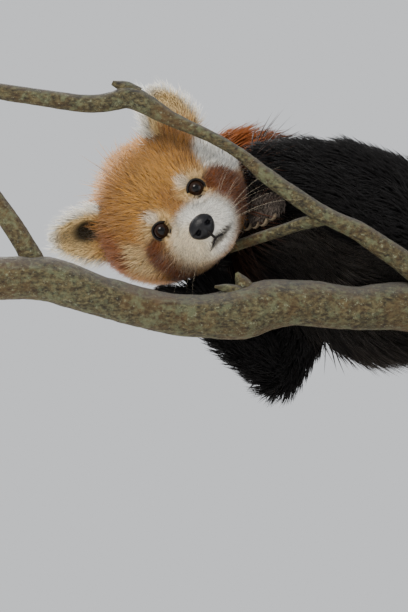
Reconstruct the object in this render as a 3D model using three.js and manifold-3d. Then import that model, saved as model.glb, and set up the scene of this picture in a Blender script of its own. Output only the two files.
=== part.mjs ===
// A red panda at life size, lying along a cut forked bough that a plain display stand carries.
// Millimetres, +Z up, X along the bough from the head to the tail, -Y towards the viewer.
// The animal and bough share one frame, whose height 0 is the bough's middle at the chest.
import * as THREE from "three";
import { mergeVertices } from "three/addons/utils/BufferGeometryUtils.js";
import Module from "manifold-3d";

const wasm = await Module();
wasm.setup();

// Driving sizes
const GAP = 0.4;
const FINEST = 0.08;
const BOUGH_HEIGHT = 350;
const STAND_AT = { x: 215, y: 62 };
const BASE = { length: 560, depth: 300, thick: 22, corner: 40, bevel: 3 };
const ROD_RADIUS = 8;
const EYE_SPACING = 47.4;
const EYE_RADIUS = 8.6;
const HEAD = { x: -21.8, y: 6, z: 85, rollDeg: 50.9, pitchDeg: 7 };
const TAIL_SPLITS = [0.34, 0.67];
const LOCK = { sides: 3, steps: 3, ridge: 0.3, sink: 9, crowding: 0.2 };
const COAT_DEPTH = { cheek: 11, neck: 15, torso: 17, leg: 9, tail: 20 };

const UP = new THREE.Vector3(0, 0, 1);
const BACK = new THREE.Vector3(0, 1, 0);

const FINISHES = {
  fur_red: [0.45, 0.16, 0.05, 0.9],
  fur_black: [0.03, 0.025, 0.03, 0.9],
  fur_face: [0.62, 0.3, 0.1, 0.9],
  fur_cream: [0.85, 0.76, 0.6, 0.9],
  fur_tail: [0.5, 0.2, 0.07, 0.9],
  nose_skin: [0.04, 0.04, 0.05, 0.35],
  eye_dark: [0.05, 0.025, 0.015, 0.1],
  bark: [0.3, 0.25, 0.17, 0.9],
  board: [0.3, 0.2, 0.12, 0.5],
  steel: [0.55, 0.55, 0.56, 0.35, 1],
};

// Turning shapes into solids and back

function solidOf(geometry) {
  const bare = geometry.clone();
  bare.deleteAttribute("normal");
  bare.deleteAttribute("uv");
  const merged = mergeVertices(bare, 1e-3);
  const mesh = new wasm.Mesh({
    numProp: 3,
    vertProperties: new Float32Array(merged.attributes.position.array),
    triVerts: new Uint32Array(merged.index.array),
  });
  return new wasm.Manifold(mesh);
}

function geometryOf(solid) {
  const mesh = solid.getMesh();
  const geometry = new THREE.BufferGeometry();
  geometry.setAttribute("position", new THREE.BufferAttribute(mesh.vertProperties, 3));
  geometry.setIndex(new THREE.BufferAttribute(mesh.triVerts, 1));
  geometry.computeVertexNormals();
  return geometry;
}

const join = (solids) => wasm.Manifold.union(solids);

function largest(solid) {
  const bodies = solid.decompose();
  return bodies.sort((a, b) => b.volume() - a.volume())[0];
}

// A closed round form: a capsule bent so that its rings follow a smooth path.
// A station is [x, y, z, half width, half height], with the width across `up`. Each end swells
// by its share, in `ends`, of its own half size. Rings stay square to `axis` where it is given.
function sweep(stations, shape = {}) {
  const { up = UP, axis, sides = 12, rings = 8, cap = 2, ends = [1, 1], grow = 0, place } = shape;
  const path = new THREE.CatmullRomCurve3(stations.map(([x, y, z]) => new THREE.Vector3(x, y, z)));
  const sizes = new THREE.CatmullRomCurve3(
    stations.map(([, , , a, b = a], i) => new THREE.Vector3(a + grow, b + grow, i * 1000)),
  );
  const capsule = new THREE.CapsuleGeometry(1, rings, cap, sides, rings);
  const points = capsule.getAttribute("position");
  for (let i = 0; i < points.count; i++) {
    const inside = THREE.MathUtils.clamp(points.getY(i), -rings / 2, rings / 2);
    const t = inside / rings + 0.5;
    const along = axis ?? path.getTangent(t);
    const across = new THREE.Vector3().crossVectors(along, up).normalize();
    const above = new THREE.Vector3().crossVectors(across, along);
    const size = sizes.getPoint(t);
    const swell = ends[t < 0.5 ? 0 : 1];
    const reach = (points.getY(i) - inside) * Math.min(size.x, size.y) * swell;
    const at = path.getPoint(t)
      .addScaledVector(along, reach)
      .addScaledVector(across, points.getX(i) * size.x)
      .addScaledVector(above, points.getZ(i) * size.y);
    points.setXYZ(i, at.x, at.y, at.z);
  }
  if (place) capsule.applyMatrix4(place);
  return solidOf(capsule);
}

function ball(centre, radii, { place, grow = 0, wide = 16, high = 10 } = {}) {
  const geometry = new THREE.SphereGeometry(1, wide, high);
  geometry.scale(...radii.map((r) => r + grow));
  geometry.translate(...centre);
  if (place) geometry.applyMatrix4(place);
  return solidOf(geometry);
}

// A coat lies on a form: a point of it is found from its share of the way along the form's path,
// its turn about the path and its height above the form.
function coatOver(stations, { up = UP, axis, place } = {}) {
  const path = new THREE.CatmullRomCurve3(stations.map(([x, y, z]) => new THREE.Vector3(x, y, z)));
  const halves = stations.map(([, , , a, b = a], i) => new THREE.Vector3(a, b, i * 1000));
  const sizes = new THREE.CatmullRomCurve3(halves);
  return (share, turn, above) => {
    const t = THREE.MathUtils.clamp(share, 0, 1);
    const along = axis ?? path.getTangent(t);
    const across = new THREE.Vector3().crossVectors(along, up).normalize();
    const top = new THREE.Vector3().crossVectors(across, along);
    const size = sizes.getPoint(t);
    const at = path.getPoint(t)
      .addScaledVector(path.getTangent(t), (share - t) * path.getLength())
      .addScaledVector(across, Math.cos(turn) * size.x)
      .addScaledVector(top, Math.sin(turn) * size.y);
    const out = across.multiplyScalar(Math.cos(turn) / size.x)
      .addScaledVector(top, Math.sin(turn) / size.y)
      .normalize();
    at.addScaledVector(out, above);
    if (place) at.applyMatrix4(place);
    if (place) out.transformDirection(place);
    return { at, out };
  };
}

// A lock is a flat cone with its ridge outward. It rises from its sunk root and bends over to lie
// along the coat, from its root at `share` and `turn` to its tip at `tipShare` and `tipTurn`.
function lock(coat, { share, turn, tipShare, tipTurn = turn, width, rise, sink = LOCK.sink }, grow) {
  const cone = new THREE.ConeGeometry(1, 1, LOCK.sides, LOCK.steps);
  const points = cone.getAttribute("position");
  const spot = (t) => {
    const height = (rise + sink) * (1 - (1 - t) ** 2) - sink;
    return coat(share + (tipShare - share) * t, turn + (tipTurn - turn) * t, height);
  };
  for (let i = 0; i < points.count; i++) {
    const t = points.getY(i) + 0.5;
    const { at, out } = spot(t);
    const lie = spot(t + 0.02).at.sub(spot(t - 0.02).at).normalize();
    const side = new THREE.Vector3().crossVectors(lie, out).normalize();
    const above = new THREE.Vector3().crossVectors(side, lie);
    const taper = (1 - t) ** 0.7 * (0.8 + 1.1 * t);
    const unit = t < 0.999 ? 1 / (1 - t) : 0;
    const half = (width / 2) * taper;
    at.addScaledVector(lie, 4 * grow * (t - 0.5));
    at.addScaledVector(side, points.getX(i) * unit * (half * 1.15 + 4 * grow));
    at.addScaledVector(above, points.getZ(i) * unit * (half * LOCK.ridge + 2 * grow));
    points.setXYZ(i, at.x, at.y, at.z);
  }
  return solidOf(cone);
}

// Rows of locks over a form, each row turned half a lock against the last, every lock a little unlike
// the next. Those that would lie too deep in another part of the body are left out.
let seed = 7;
function chance() {
  seed = (seed * 16807) % 2147483647;
  return seed / 2147483647 - 0.5;
}
function locks(owner, coat, shape) {
  const { rows, around, turns = [0, 2 * Math.PI], reach, width, rise, sink, swirl = 0, flare = 0 } = shape;
  const kept = [];
  const others = join([
    ...placed, ...Object.keys(CORES).filter((name) => name !== owner).flatMap((name) => CORES[name](0)),
  ]);
  const whole = turns[1] - turns[0] > 6.28;
  rows.forEach((share, row) => {
    const count = whole ? around : around - (row % 2);
    for (let i = 0; i < count; i++) {
      const place = (i + (row % 2 ? 0.5 : 0)) / (whole ? around : Math.max(1, around - 1));
      const turn = turns[0] + (turns[1] - turns[0]) * place + chance() * 0.1;
      const long = reach * (1 + chance() * 0.3);
      const shape = {
        share: share + chance() * reach * 0.15,
        turn,
        tipShare: share + long,
        tipTurn: turn + swirl + flare * Math.cos(turn) + chance() * 0.2,
        width: width * (1 + chance() * 0.2),
        rise: rise * (1 + chance() * 0.3),
        sink,
      };
      const form = lock(coat, shape, 0);
      const deep = form.intersect(others).volume() / form.volume();
      if (deep < LOCK.crowding) kept.push(shape);
    }
  });
  return (grow) => kept.map((shape) => lock(coat, shape, grow));
}

// The form beneath a coat: the same stations drawn in by the coat's depth, or a share of it.
const drawnIn = (stations, depth) => stations.map(([x, y, z, a, b = a]) => [x, y, z, a - depth, b - depth]);

// Every node is cut clear of the nodes placed before it, which are kept a little grown.
const animal = new THREE.Group();
const placed = [];
const solids = {};

function node(name, finish, forms, hollows = []) {
  let body = join(forms(0));
  if (hollows.length) body = body.subtract(join(hollows));
  if (placed.length) body = body.subtract(join(placed));
  body = largest(body.simplify(FINEST));
  placed.push(join(forms(GAP)));
  const [r, g, b, roughness, metalness = 0] = FINISHES[finish];
  const color = new THREE.Color(r, g, b);
  const material = new THREE.MeshStandardMaterial({ color, roughness, metalness });
  const mesh = new THREE.Mesh(geometryOf(body), material);
  mesh.name = name;
  animal.add(mesh);
  solids[name] = body;
}

// The bough: a limb that runs in front of the chest and back beneath the hips

const LIMB = [
  [-196, -34, 19, 18], [-134, -30, 19, 19], [-90, -24, 6, 17.5], [-47, -16, -5, 17.5],
  [-4, -11, -10, 18.5], [31, -9, -7, 23], [57, -8, 0, 21.5], [83, -6, 2, 19.5],
  [127, -2, -2, 19], [177, 5, 0, 21], [225, 18, -12, 22], [265, 38, -34, 23],
  [305, 58, -55, 23.5], [350, 78, -68, 24], [400, 92, -72, 25], [450, 98, -76, 25.5], [486, 100, -80, 26],
];
const BRANCH = [
  [-196, -16, 189, 7.2], [-138, -16, 180, 7.5], [-99, -15, 175.4, 7.6], [-78, -15, 178, 8.4],
  [-66, -16, 181, 10], [-49.5, -16, 174.2, 8.6], [-40, -16, 168.4, 8], [-31.6, -17, 163.4, 6.9],
  [-14.8, -17, 155.4, 5.8], [6.2, -18, 145.4, 5], [24, -20, 134.8, 5], [38, -21, 124.5, 5.6],
  [52, -22, 112, 6.6], [66.8, -23, 100.8, 7.3], [81.6, -24, 90.3, 7.6], [96.4, -25, 80, 7.5],
  [111, -26, 71.8, 7.4], [131, -25, 62.6, 8.4], [150, -21, 50.6, 9.3], [170, -16, 38, 9.6],
  [192, -8, 22, 11], [222, 8, 2, 14],
];
const TWIG = [
  [22, 17, 53, 4.6], [42, 8, 58.8, 5], [72, -7, 66.7, 5.2], [86, -14, 70.4, 5.6], [106, -23, 73.5, 6],
];
const SHOOT = [
  [-140, -30, 24, 10], [-152, -31, 46, 9], [-166, -32, 68, 9], [-186, -33, 96, 8.5],
];
// The stubs where small side shoots have broken off
const SNAG = [[38, -12, 6, 11], [33, -15, 18, 6.5], [28, -17, 27, 1.8]];
const SPUR = [[30, -17, 10, 6], [19, -20, 13, 4], [9, -22, 14, 1.5]];
const KNOT = [[-58, -16, 183, 7], [-68, -17, 189, 6], [-80, -18, 193.5, 2.2]];

const limbForms = (grow) => [
  sweep(LIMB, { sides: 10, rings: 21, cap: 1, ends: [0.2, 0.2], grow }),
  sweep(SHOOT, { up: BACK, sides: 6, rings: 4, cap: 1, grow }),
  sweep(SNAG, { up: BACK, sides: 6, rings: 3, cap: 1, grow }),
  sweep(SPUR, { sides: 5, rings: 2, cap: 1, grow }),
];
const branchForms = (grow) => [
  sweep(BRANCH, { sides: 7, rings: 20, cap: 1, grow }),
  sweep(KNOT, { sides: 6, rings: 3, cap: 1, grow }),
];
const twigForms = (grow) => [sweep(TWIG, { sides: 6, rings: 4, cap: 1, grow })];
node("perch_limb", "bark", limbForms);
node("perch_branch", "bark", branchForms);
node("perch_twig", "bark", twigForms);

// The head has a frame of its own: x to its left, y to its crown, z out of its face.
// Its middle is the point halfway between the eyes.

const headPlace = new THREE.Matrix4()
  .makeTranslation(HEAD.x, HEAD.y, HEAD.z)
  .multiply(new THREE.Matrix4().makeRotationX(THREE.MathUtils.degToRad(HEAD.pitchDeg)))
  .multiply(new THREE.Matrix4().makeRotationY(-THREE.MathUtils.degToRad(HEAD.rollDeg)))
  .multiply(new THREE.Matrix4().makeBasis(
    new THREE.Vector3(1, 0, 0), new THREE.Vector3(0, 0, 1), new THREE.Vector3(0, -1, 0)));
const CROWN = new THREE.Vector3(0, 1, 0);
const FACE = new THREE.Vector3(0, 0, 1);

const SKULL = [
  [0, 9, -92, 46, 38], [0, 12, -76, 65, 55], [0, 12, -58, 76, 65], [0, 10, -38, 78, 68],
  [0, 4, -18, 72, 62], [0, -9, -2, 59, 49], [0, -21, 10, 44, 35], [0, -28, 22, 34, 29],
  [0, -31, 34, 28, 25], [0, -31, 43, 20, 20],
];

// The legs' forms, from the shoulder or hip to the wrist or heel on each
const LEGS = {
  foreleg_left: [
    [[210, 62, 52, 54], [168, 54, 86, 60], [126, 46, 106, 54]],
    [[128, 46, 106, 53], [92, 42, 118, 44], [60, 40, 124, 33]],
  ],
  foreleg_right: [
    [[106, 108, 30, 44], [82, 98, -8, 38], [66, 86, -46, 30]],
    [[66, 86, -46, 30], [36, 68, -20, 32], [2, 48, 14, 32]],
  ],
  hindleg_left: [
    [[376, 66, 38, 58], [338, 34, 34, 52], [304, 16, 20, 38]],
    [[304, 16, 18, 36], [312, 14, -14, 28], [322, 14, -38, 22]],
  ],
  hindleg_right: [
    [[376, 132, 30, 56], [340, 158, 12, 48], [314, 168, -8, 36]],
    [[314, 168, -10, 34], [328, 162, -34, 27], [342, 152, -56, 21]],
  ],
};
const NECK = [[-16, 62, 86, 58, 58], [18, 80, 104, 66, 70], [62, 88, 92, 72, 76], [104, 90, 66, 74, 74]];
const TORSO = [
  [98, 90, 62, 72, 74], [130, 90, 46, 77, 83], [170, 90, 40, 80, 83], [230, 94, 42, 81, 83],
  [300, 98, 44, 82, 84], [360, 100, 40, 80, 82], [408, 102, 34, 69, 70],
];
const TAIL = [
  [452, 104, 26, 46], [496, 110, -8, 50], [516, 112, -66, 53], [508, 108, -132, 54],
  [486, 100, -190, 52], [466, 90, -238, 46], [459, 84, -274, 35],
];
const HEAD_CORE = SKULL.map(([x, y, z, a, b]) => {
  const drawn = COAT_DEPTH.cheek * THREE.MathUtils.smoothstep(-z, 8, 40);
  return [x, y, z, a - drawn, b];
});
const TAIL_CORE = drawnIn(TAIL, COAT_DEPTH.tail);
const NECK_CORE = drawnIn(NECK, COAT_DEPTH.neck);
const TORSO_CORE = drawnIn(TORSO, COAT_DEPTH.torso);
const legCore = (name) => LEGS[name].map((stations) => drawnIn(stations, COAT_DEPTH.leg));
const SKULL_SHAPE = {
  up: CROWN, axis: FACE, sides: 17, rings: 12, cap: 2, ends: [0.5, 0.32], place: headPlace,
};
const CORES = {
  head: (grow) => [sweep(HEAD_CORE, { ...SKULL_SHAPE, grow })],
  neck: (grow) => [sweep(NECK_CORE, { sides: 12, rings: 5, cap: 2, grow })],
  torso: (grow) => [sweep(TORSO_CORE, { sides: 12, rings: 8, cap: 2, grow })],
  tail: (grow) => [sweep(TAIL_CORE, { up: BACK, sides: 9, rings: 12, cap: 2, grow })],
};
const LEG_SHAPE = { up: BACK, sides: 10, rings: 3, cap: 2 };
for (const name of Object.keys(LEGS)) {
  CORES[name] = (grow) => legCore(name).map((stations) => sweep(stations, { ...LEG_SHAPE, grow }));
}

const MOUTH = [
  [-24, -37, 22, 1.4], [-17, -41, 36, 1.4], [-6, -43, 47, 1.4], [0, -41, 50, 1.4],
  [6, -43, 47, 1.4], [17, -41, 36, 1.4], [24, -37, 22, 1.4],
];
const LOWER_LIP = [
  [-15, -45, 34, 3.5], [-7, -47, 42, 4], [0, -47.5, 44, 4], [7, -47, 42, 4], [15, -45, 34, 3.5],
];
const NOSE = { at: [0, -26, 51], radii: [12, 10, 7.6] };
const EYE_AT = [EYE_SPACING / 2, 0, 8.8];

const mirrored = (x, y, z) => [-x, y, z];
const noseForms = (grow) => [
  ball(NOSE.at, NOSE.radii, { place: headPlace, grow, wide: 12, high: 8 }),
  ball([0, -32, 51], [4.5, 7, 4.5], { place: headPlace, grow, wide: 7, high: 5 }),
];
const nostril = (side) => sweep(
  [[side * 4.5, -27, 59.6, 1.6, 2.2], [side * 7.5, -26.5, 56.6, 1.7, 2.4], [side * 10.4, -25.6, 51, 1, 1.4]],
  { up: CROWN, sides: 6, rings: 2, cap: 1, place: headPlace },
);
node("nose", "nose_skin", noseForms, [nostril(1), nostril(-1)]);

const eyeForms = (at) => (grow) => [
  ball(at, [EYE_RADIUS, EYE_RADIUS, EYE_RADIUS], { place: headPlace, grow, wide: 12, high: 8 }),
];
node("eye_left", "eye_dark", eyeForms(EYE_AT));
node("eye_right", "eye_dark", eyeForms(mirrored(...EYE_AT)));

// Paws: a palm, five toes and their claws, laid along a wrist-to-toe line

const PAWS = {
  fore_left: { wrist: [58, 40, 116], toe: [52, 22, 82], across: [1, -0.6, 0.35], wide: 21, thick: 15 },
  fore_right: { wrist: [0, 46, 2], toe: [-32, 20, 1], across: [0.2, 0.6, 1], wide: 21, thick: 15 },
  hind_left: { wrist: [322, 14, -38], toe: [258, 8, -8], across: [0.3, 1, 0.5], wide: 22, thick: 16 },
  hind_right: { wrist: [342, 152, -56], toe: [284, 118, -66], across: [0.3, 1, 0.5], wide: 22, thick: 16 },
};
const TOES = 5;
const CLAW = { radius: 2.8, length: 15, droop: 0.7 };

function pawFrame({ wrist, toe, across }) {
  const from = new THREE.Vector3(...wrist);
  const along = new THREE.Vector3(...toe).sub(from);
  const length = along.length();
  along.normalize();
  const side = new THREE.Vector3(...across);
  side.addScaledVector(along, -side.dot(along)).normalize();
  const top = new THREE.Vector3().crossVectors(side, along).normalize();
  return { from, along, side, top, length };
}

function pawForms(paw) {
  const { from, along, side, top, length } = pawFrame(paw);
  const at = (forward, sideways, above, ...sizes) => [
    ...from.clone().addScaledVector(along, forward).addScaledVector(side, sideways)
      .addScaledVector(top, above).toArray(),
    ...sizes,
  ];
  return (grow) => {
    const palm = sweep(
      [at(-8, 0, 0, paw.wide, paw.thick), at(length * 0.35, 0, 0, paw.wide, paw.thick),
        at(length * 0.7, 0, -1, paw.wide * 1.02, paw.thick * 0.9)],
      { up: top, sides: 9, rings: 2, cap: 1, grow },
    );
    const toes = [];
    for (let i = 0; i < TOES; i++) {
      const spread = (i - (TOES - 1) / 2) / ((TOES - 1) / 2);
      const reach = length * (1.02 - 0.1 * spread * spread);
      const beside = spread * paw.wide * 0.82;
      toes.push(sweep(
        [at(length * 0.55, beside * 0.9, -1, 5.5, 6.5), at(reach, beside, -2, 5.5, 6.5),
          at(reach + 7, beside, -5, 4.5, 5)],
        { up: top, sides: 5, rings: 2, cap: 1, grow },
      ));
      const claw = new THREE.ConeGeometry(CLAW.radius + grow, CLAW.length + 2 * grow, 4);
      const down = along.clone().addScaledVector(top, -CLAW.droop).normalize();
      claw.applyQuaternion(new THREE.Quaternion().setFromUnitVectors(new THREE.Vector3(0, 1, 0), down));
      const root = new THREE.Vector3(...at(reach + 8, beside, -5)).addScaledVector(down, CLAW.length / 3);
      toes.push(solidOf(claw.translate(...root.toArray())));
    }
    return [palm, ...toes];
  };
}
for (const [name, paw] of Object.entries(PAWS)) node(`paw_${name}`, "fur_black", pawForms(paw));

// Head: the skull's form, a rim of lid round each eye, the lips and the line of the mouth

const LID_RADIUS = EYE_RADIUS + 1.9;
const lidShape = { place: headPlace, wide: 12, high: 8 };
const lid = (at) => (grow) => ball(at, [LID_RADIUS, LID_RADIUS, LID_RADIUS], { ...lidShape, grow });
const lidOpening = ([x, y, z]) => ball([x * 1.03, y, z + 9], [8, 7.6, 8], { ...lidShape, high: 6 });
const headCoat = coatOver(HEAD_CORE, { up: CROWN, axis: FACE, place: headPlace });
const ruff = (from, to) => locks("head", headCoat, {
  rows: [0.54, 0.4, 0.26], around: 4, turns: [from, to], reach: -0.25, width: 34,
  rise: COAT_DEPTH.cheek, sink: 8,
});
const ruffs = [ruff(-1.15, 0.3), ruff(Math.PI - 0.3, Math.PI + 1.15)];
const headForms = (grow) => [
  ...CORES.head(grow),
  ...ruffs.flatMap((tufts) => tufts(grow)),
  sweep(LOWER_LIP, { up: CROWN, sides: 6, rings: 5, cap: 1, grow, place: headPlace }),
  lid(EYE_AT)(grow),
  lid(mirrored(...EYE_AT))(grow),
];
node("head", "fur_face", headForms, [
  sweep(MOUTH, { up: CROWN, sides: 6, rings: 10, cap: 1, place: headPlace }),
  lidOpening(EYE_AT),
  lidOpening(mirrored(...EYE_AT)),
]);

// Ears: a rounded triangle with its cup open to the front

const EAR_STATIONS = [
  [0, 0, 0, 27, 10], [0, 12, 0, 27, 9], [0, 26, 0, 22, 8], [0, 38, 0, 15, 6], [0, 47, 0, 8, 4],
];
const EAR_CUP = [
  [0, 8, 8, 18, 7], [0, 20, 8, 17, 6.5], [0, 33, 8, 10, 5], [0, 41, 8, 5, 4],
];
const EARS = {
  left: { at: [52, 46, -34], leanDeg: -22, turnDeg: 22 },
  right: { at: [-58, 40, -34], leanDeg: 44, turnDeg: -22 },
};
function earPlace({ at, leanDeg, turnDeg }) {
  return headPlace.clone()
    .multiply(new THREE.Matrix4().makeTranslation(...at))
    .multiply(new THREE.Matrix4().makeRotationZ(THREE.MathUtils.degToRad(leanDeg)))
    .multiply(new THREE.Matrix4().makeRotationY(THREE.MathUtils.degToRad(turnDeg)));
}
for (const [side, ear] of Object.entries(EARS)) {
  const place = earPlace(ear);
  const up = new THREE.Vector3(0, 0, 1);
  const coat = coatOver(EAR_STATIONS, { up, place });
  const edge = (from, to) => locks("ear", coat, {
    rows: [0.12, 0.38, 0.64], around: 1, turns: [from, to], reach: 0.36, width: 15, rise: 6, sink: 4,
  });
  const fringe = [edge(0, 0.1), edge(Math.PI, Math.PI + 0.1)];
  const forms = (grow) => [
    sweep(EAR_STATIONS, { up, sides: 12, rings: 5, cap: 2, grow, place }),
    ...fringe.flatMap((tufts) => tufts(grow)),
  ];
  node(`ear_${side}`, "fur_cream", forms, [sweep(EAR_CUP, { up, sides: 10, rings: 4, cap: 2, place })]);
}

// Neck and torso

function coated(name, finish, core, coatShape) {
  const tufts = locks(name, coatOver(core), coatShape);
  node(name, finish, (grow) => [...CORES[name](grow), ...tufts(grow)]);
}
coated("neck", "fur_red", NECK_CORE, {
  rows: [0.12, 0.55], around: 7, reach: 0.5, width: 58, rise: COAT_DEPTH.neck,
});
coated("torso", "fur_red", TORSO_CORE, {
  rows: [0.16, 0.38, 0.6, 0.82], around: 7, reach: 0.3, width: 62, rise: COAT_DEPTH.torso,
});

// Legs

for (const name of Object.keys(LEGS)) {
  const coats = legCore(name).map((stations, lower) => locks(name, coatOver(stations, { up: BACK }), {
    rows: [0.1, 0.6], around: lower ? 4 : 5, reach: 0.62, width: lower ? 34 : 48, rise: COAT_DEPTH.leg,
  }));
  node(name, "fur_black", (grow) => [
    ...CORES[name](grow),
    ...coats.flatMap((tufts) => tufts(grow)),
  ]);
}

// Tail: one coated form, parted across its path into three lengths

const tailPath = new THREE.CatmullRomCurve3(TAIL.map(([x, y, z]) => new THREE.Vector3(x, y, z)));
function tailLength(from, to, grow) {
  let body = join(CORES.tail(grow));
  const cutAt = (t, direction) => {
    const normal = tailPath.getTangent(t).multiplyScalar(direction);
    const offset = normal.dot(tailPath.getPoint(t)) + GAP / 2;
    body = body.trimByPlane(normal.toArray(), offset);
  };
  if (from > 0) cutAt(from, 1);
  if (to < 1) cutAt(to, -1);
  return body;
}
const tailBounds = [0, ...TAIL_SPLITS, 1];
["tail_base", "tail_middle", "tail_tip"].forEach((name, i) => {
  const [from, to] = [tailBounds[i], tailBounds[i + 1]];
  const rows = [0.05, 0.38, 0.71].map((share) => from + (to - from) * share);
  const tufts = locks("tail", coatOver(TAIL_CORE, { up: BACK }), {
    rows, around: 5, reach: 0.16, width: 42, rise: COAT_DEPTH.tail,
  });
  node(name, "fur_tail", (grow) => [tailLength(from, to, grow), ...tufts(grow)]);
});

// Stand: a board with two rods up to the limb

const boardTop = BASE.thick - BOUGH_HEIGHT;
const limbPath = new THREE.CatmullRomCurve3(LIMB.map(([x, y, z]) => new THREE.Vector3(x, y, z)));
function limbPointAt(x) {
  let low = 0;
  let high = 1;
  for (let i = 0; i < 30; i++) {
    const middle = (low + high) / 2;
    if (limbPath.getPoint(middle).x < x) low = middle;
    else high = middle;
  }
  return limbPath.getPoint(low);
}
function boardForm(grow) {
  const { length, depth, thick, corner, bevel } = BASE;
  const halfX = length / 2 - bevel;
  const halfY = depth / 2 - bevel;
  const outline = new THREE.Shape();
  outline.absarc(halfX - corner, halfY - corner, corner, 0, Math.PI / 2);
  outline.absarc(corner - halfX, halfY - corner, corner, Math.PI / 2, Math.PI);
  outline.absarc(corner - halfX, corner - halfY, corner, Math.PI, 1.5 * Math.PI);
  outline.absarc(halfX - corner, corner - halfY, corner, 1.5 * Math.PI, 2 * Math.PI);
  const board = new THREE.ExtrudeGeometry(outline, {
    depth: thick - 2 * bevel, bevelSize: bevel, bevelThickness: bevel, bevelSegments: 1, curveSegments: 4,
  });
  board.translate(STAND_AT.x, STAND_AT.y, bevel - BOUGH_HEIGHT + grow);
  return solidOf(board);
}
node("stand_base", "board", (grow) => [boardForm(grow)]);
const ROD_X = [218, 392];
ROD_X.forEach((x, i) => {
  const top = limbPointAt(x);
  const height = top.z - boardTop;
  node(`stand_rod_${i + 1}`, "steel", () => {
    const rod = new THREE.CylinderGeometry(ROD_RADIUS, ROD_RADIUS, height, 16);
    rod.rotateX(Math.PI / 2);
    rod.translate(x, top.y, boardTop + GAP + height / 2);
    return [solidOf(rod)];
  });
});

animal.position.set(-STAND_AT.x, -STAND_AT.y, BOUGH_HEIGHT);
const model = new THREE.Group();
model.add(animal);
export default model;
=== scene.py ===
# %% [markdown]
# # A red panda on a cut bough
# A museum model of a red panda that rests in a forked bough, with its head turned to the viewer
# and laid on its side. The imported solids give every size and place. This file makes the surfaces:
# one skin, a coat of tufts over it, eyes, nose, claws, whiskers, bark and the display stand.
# Sizes are in millimetres in the animal's own frame, and become metres when a mesh is made.

# %% Load the frame
import math

import bpy
import numpy as np
from mathutils import Matrix, Vector


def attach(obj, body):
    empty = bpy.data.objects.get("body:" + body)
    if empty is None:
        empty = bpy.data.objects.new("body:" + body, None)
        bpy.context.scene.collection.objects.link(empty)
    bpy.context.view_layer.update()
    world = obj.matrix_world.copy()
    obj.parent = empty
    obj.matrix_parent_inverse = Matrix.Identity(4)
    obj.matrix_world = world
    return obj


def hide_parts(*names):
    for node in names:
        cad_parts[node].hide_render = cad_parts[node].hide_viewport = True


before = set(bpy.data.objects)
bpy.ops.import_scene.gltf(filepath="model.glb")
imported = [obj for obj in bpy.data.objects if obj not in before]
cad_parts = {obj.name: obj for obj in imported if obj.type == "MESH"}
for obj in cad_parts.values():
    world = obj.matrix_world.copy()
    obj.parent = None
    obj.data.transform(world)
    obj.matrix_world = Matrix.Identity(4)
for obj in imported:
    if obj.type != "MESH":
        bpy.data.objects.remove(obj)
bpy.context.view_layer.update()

print("solids to dress:", len(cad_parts))

# %% [markdown]
# The animal's frame has its origin at the bough's middle beside the chest. The row frame has its
# origin under the board, so one shift and a change of unit turn one into the other.

# %% Shared sizes and small helpers
BOUGH_ORIGIN = np.array([215.0, 62.0, -350.0])
UP = np.array([0.0, 0.0, 1.0])
BACK = np.array([0.0, 1.0, 0.0])
BOARD_CLEAR = -322.0
rng = np.random.default_rng(11)


def to_row(points):
    return (np.asarray(points, float) - BOUGH_ORIGIN) / 1000.0


def unit(vectors):
    return vectors / np.maximum(np.linalg.norm(vectors, axis=-1, keepdims=True), 1e-9)


def full_turn(count):
    """Angles in equal steps once round."""
    return np.linspace(0, 2 * np.pi, count, endpoint=False)


def smoothstep(x, low, high):
    t = np.clip((x - low) / (high - low), 0, 1)
    return t * t * (3 - 2 * t)


def linked(name, data):
    """A new object of the scene that holds this data."""
    thing = bpy.data.objects.new(name, data)
    bpy.context.scene.collection.objects.link(thing)
    return thing


def mesh_object(name, points, faces, material=None, smooth=True):
    mesh = bpy.data.meshes.new(name)
    mesh.from_pydata(to_row(points).tolist(), [], faces)
    mesh.validate()
    if smooth:
        mesh.shade_smooth()
    if material:
        mesh.materials.append(material)
    return linked(name, mesh)


def ring_faces(rings, sides, around=False):
    """Four-sided faces between rings of points; `around` joins the last ring to the first."""
    count = rings if around else rings - 1
    return [
        (r * sides + s, r * sides + (s + 1) % sides,
         (r + 1) % rings * sides + (s + 1) % sides, (r + 1) % rings * sides + s)
        for r in range(count) for s in range(sides)
    ]


def closed_faces(rings, sides):
    """The same faces, with a flat one over each end."""
    last = (rings - 1) * sides
    return ring_faces(rings, sides) + [tuple(range(sides - 1, -1, -1)), tuple(range(last, last + sides))]


def baked(piece):
    """The same object with its modifiers turned into plain mesh."""
    graph = bpy.context.evaluated_depsgraph_get()
    mesh = bpy.data.meshes.new_from_object(piece.evaluated_get(graph), depsgraph=graph)
    piece.modifiers.clear()
    if piece.type == "MESH":
        piece.data = mesh
        return piece
    name = piece.name
    bpy.data.objects.remove(piece)
    return linked(name, mesh)


def settle(piece, slot, *nodes):
    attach(piece, "root")
    if nodes:
        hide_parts(*nodes)


# %% [markdown]
# The camera comes first. It stands a little under the animal, as the photograph was taken from
# below, and looks up by 7 degrees from two metres away, which a long lens brings close.

# %% Camera
SIGHT = to_row([0, 0, 0])
CAMERA_DISTANCE, CAMERA_TILT = 2.0, math.radians(7)


def aim_at_model(thing, place):
    thing.location = place
    thing.rotation_euler = (Vector(SIGHT) - thing.location).to_track_quat("-Z", "Y").to_euler()


lens = bpy.data.cameras.new("camera")
lens.lens = 135.7
lens.sensor_width = 36
camera = linked("camera", lens)
aim_at_model(camera, SIGHT - CAMERA_DISTANCE * np.array([0, math.cos(CAMERA_TILT), math.sin(CAMERA_TILT)]))
bpy.context.scene.camera = camera
print("camera height above the floor:", round(camera.location.z, 3))
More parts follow.
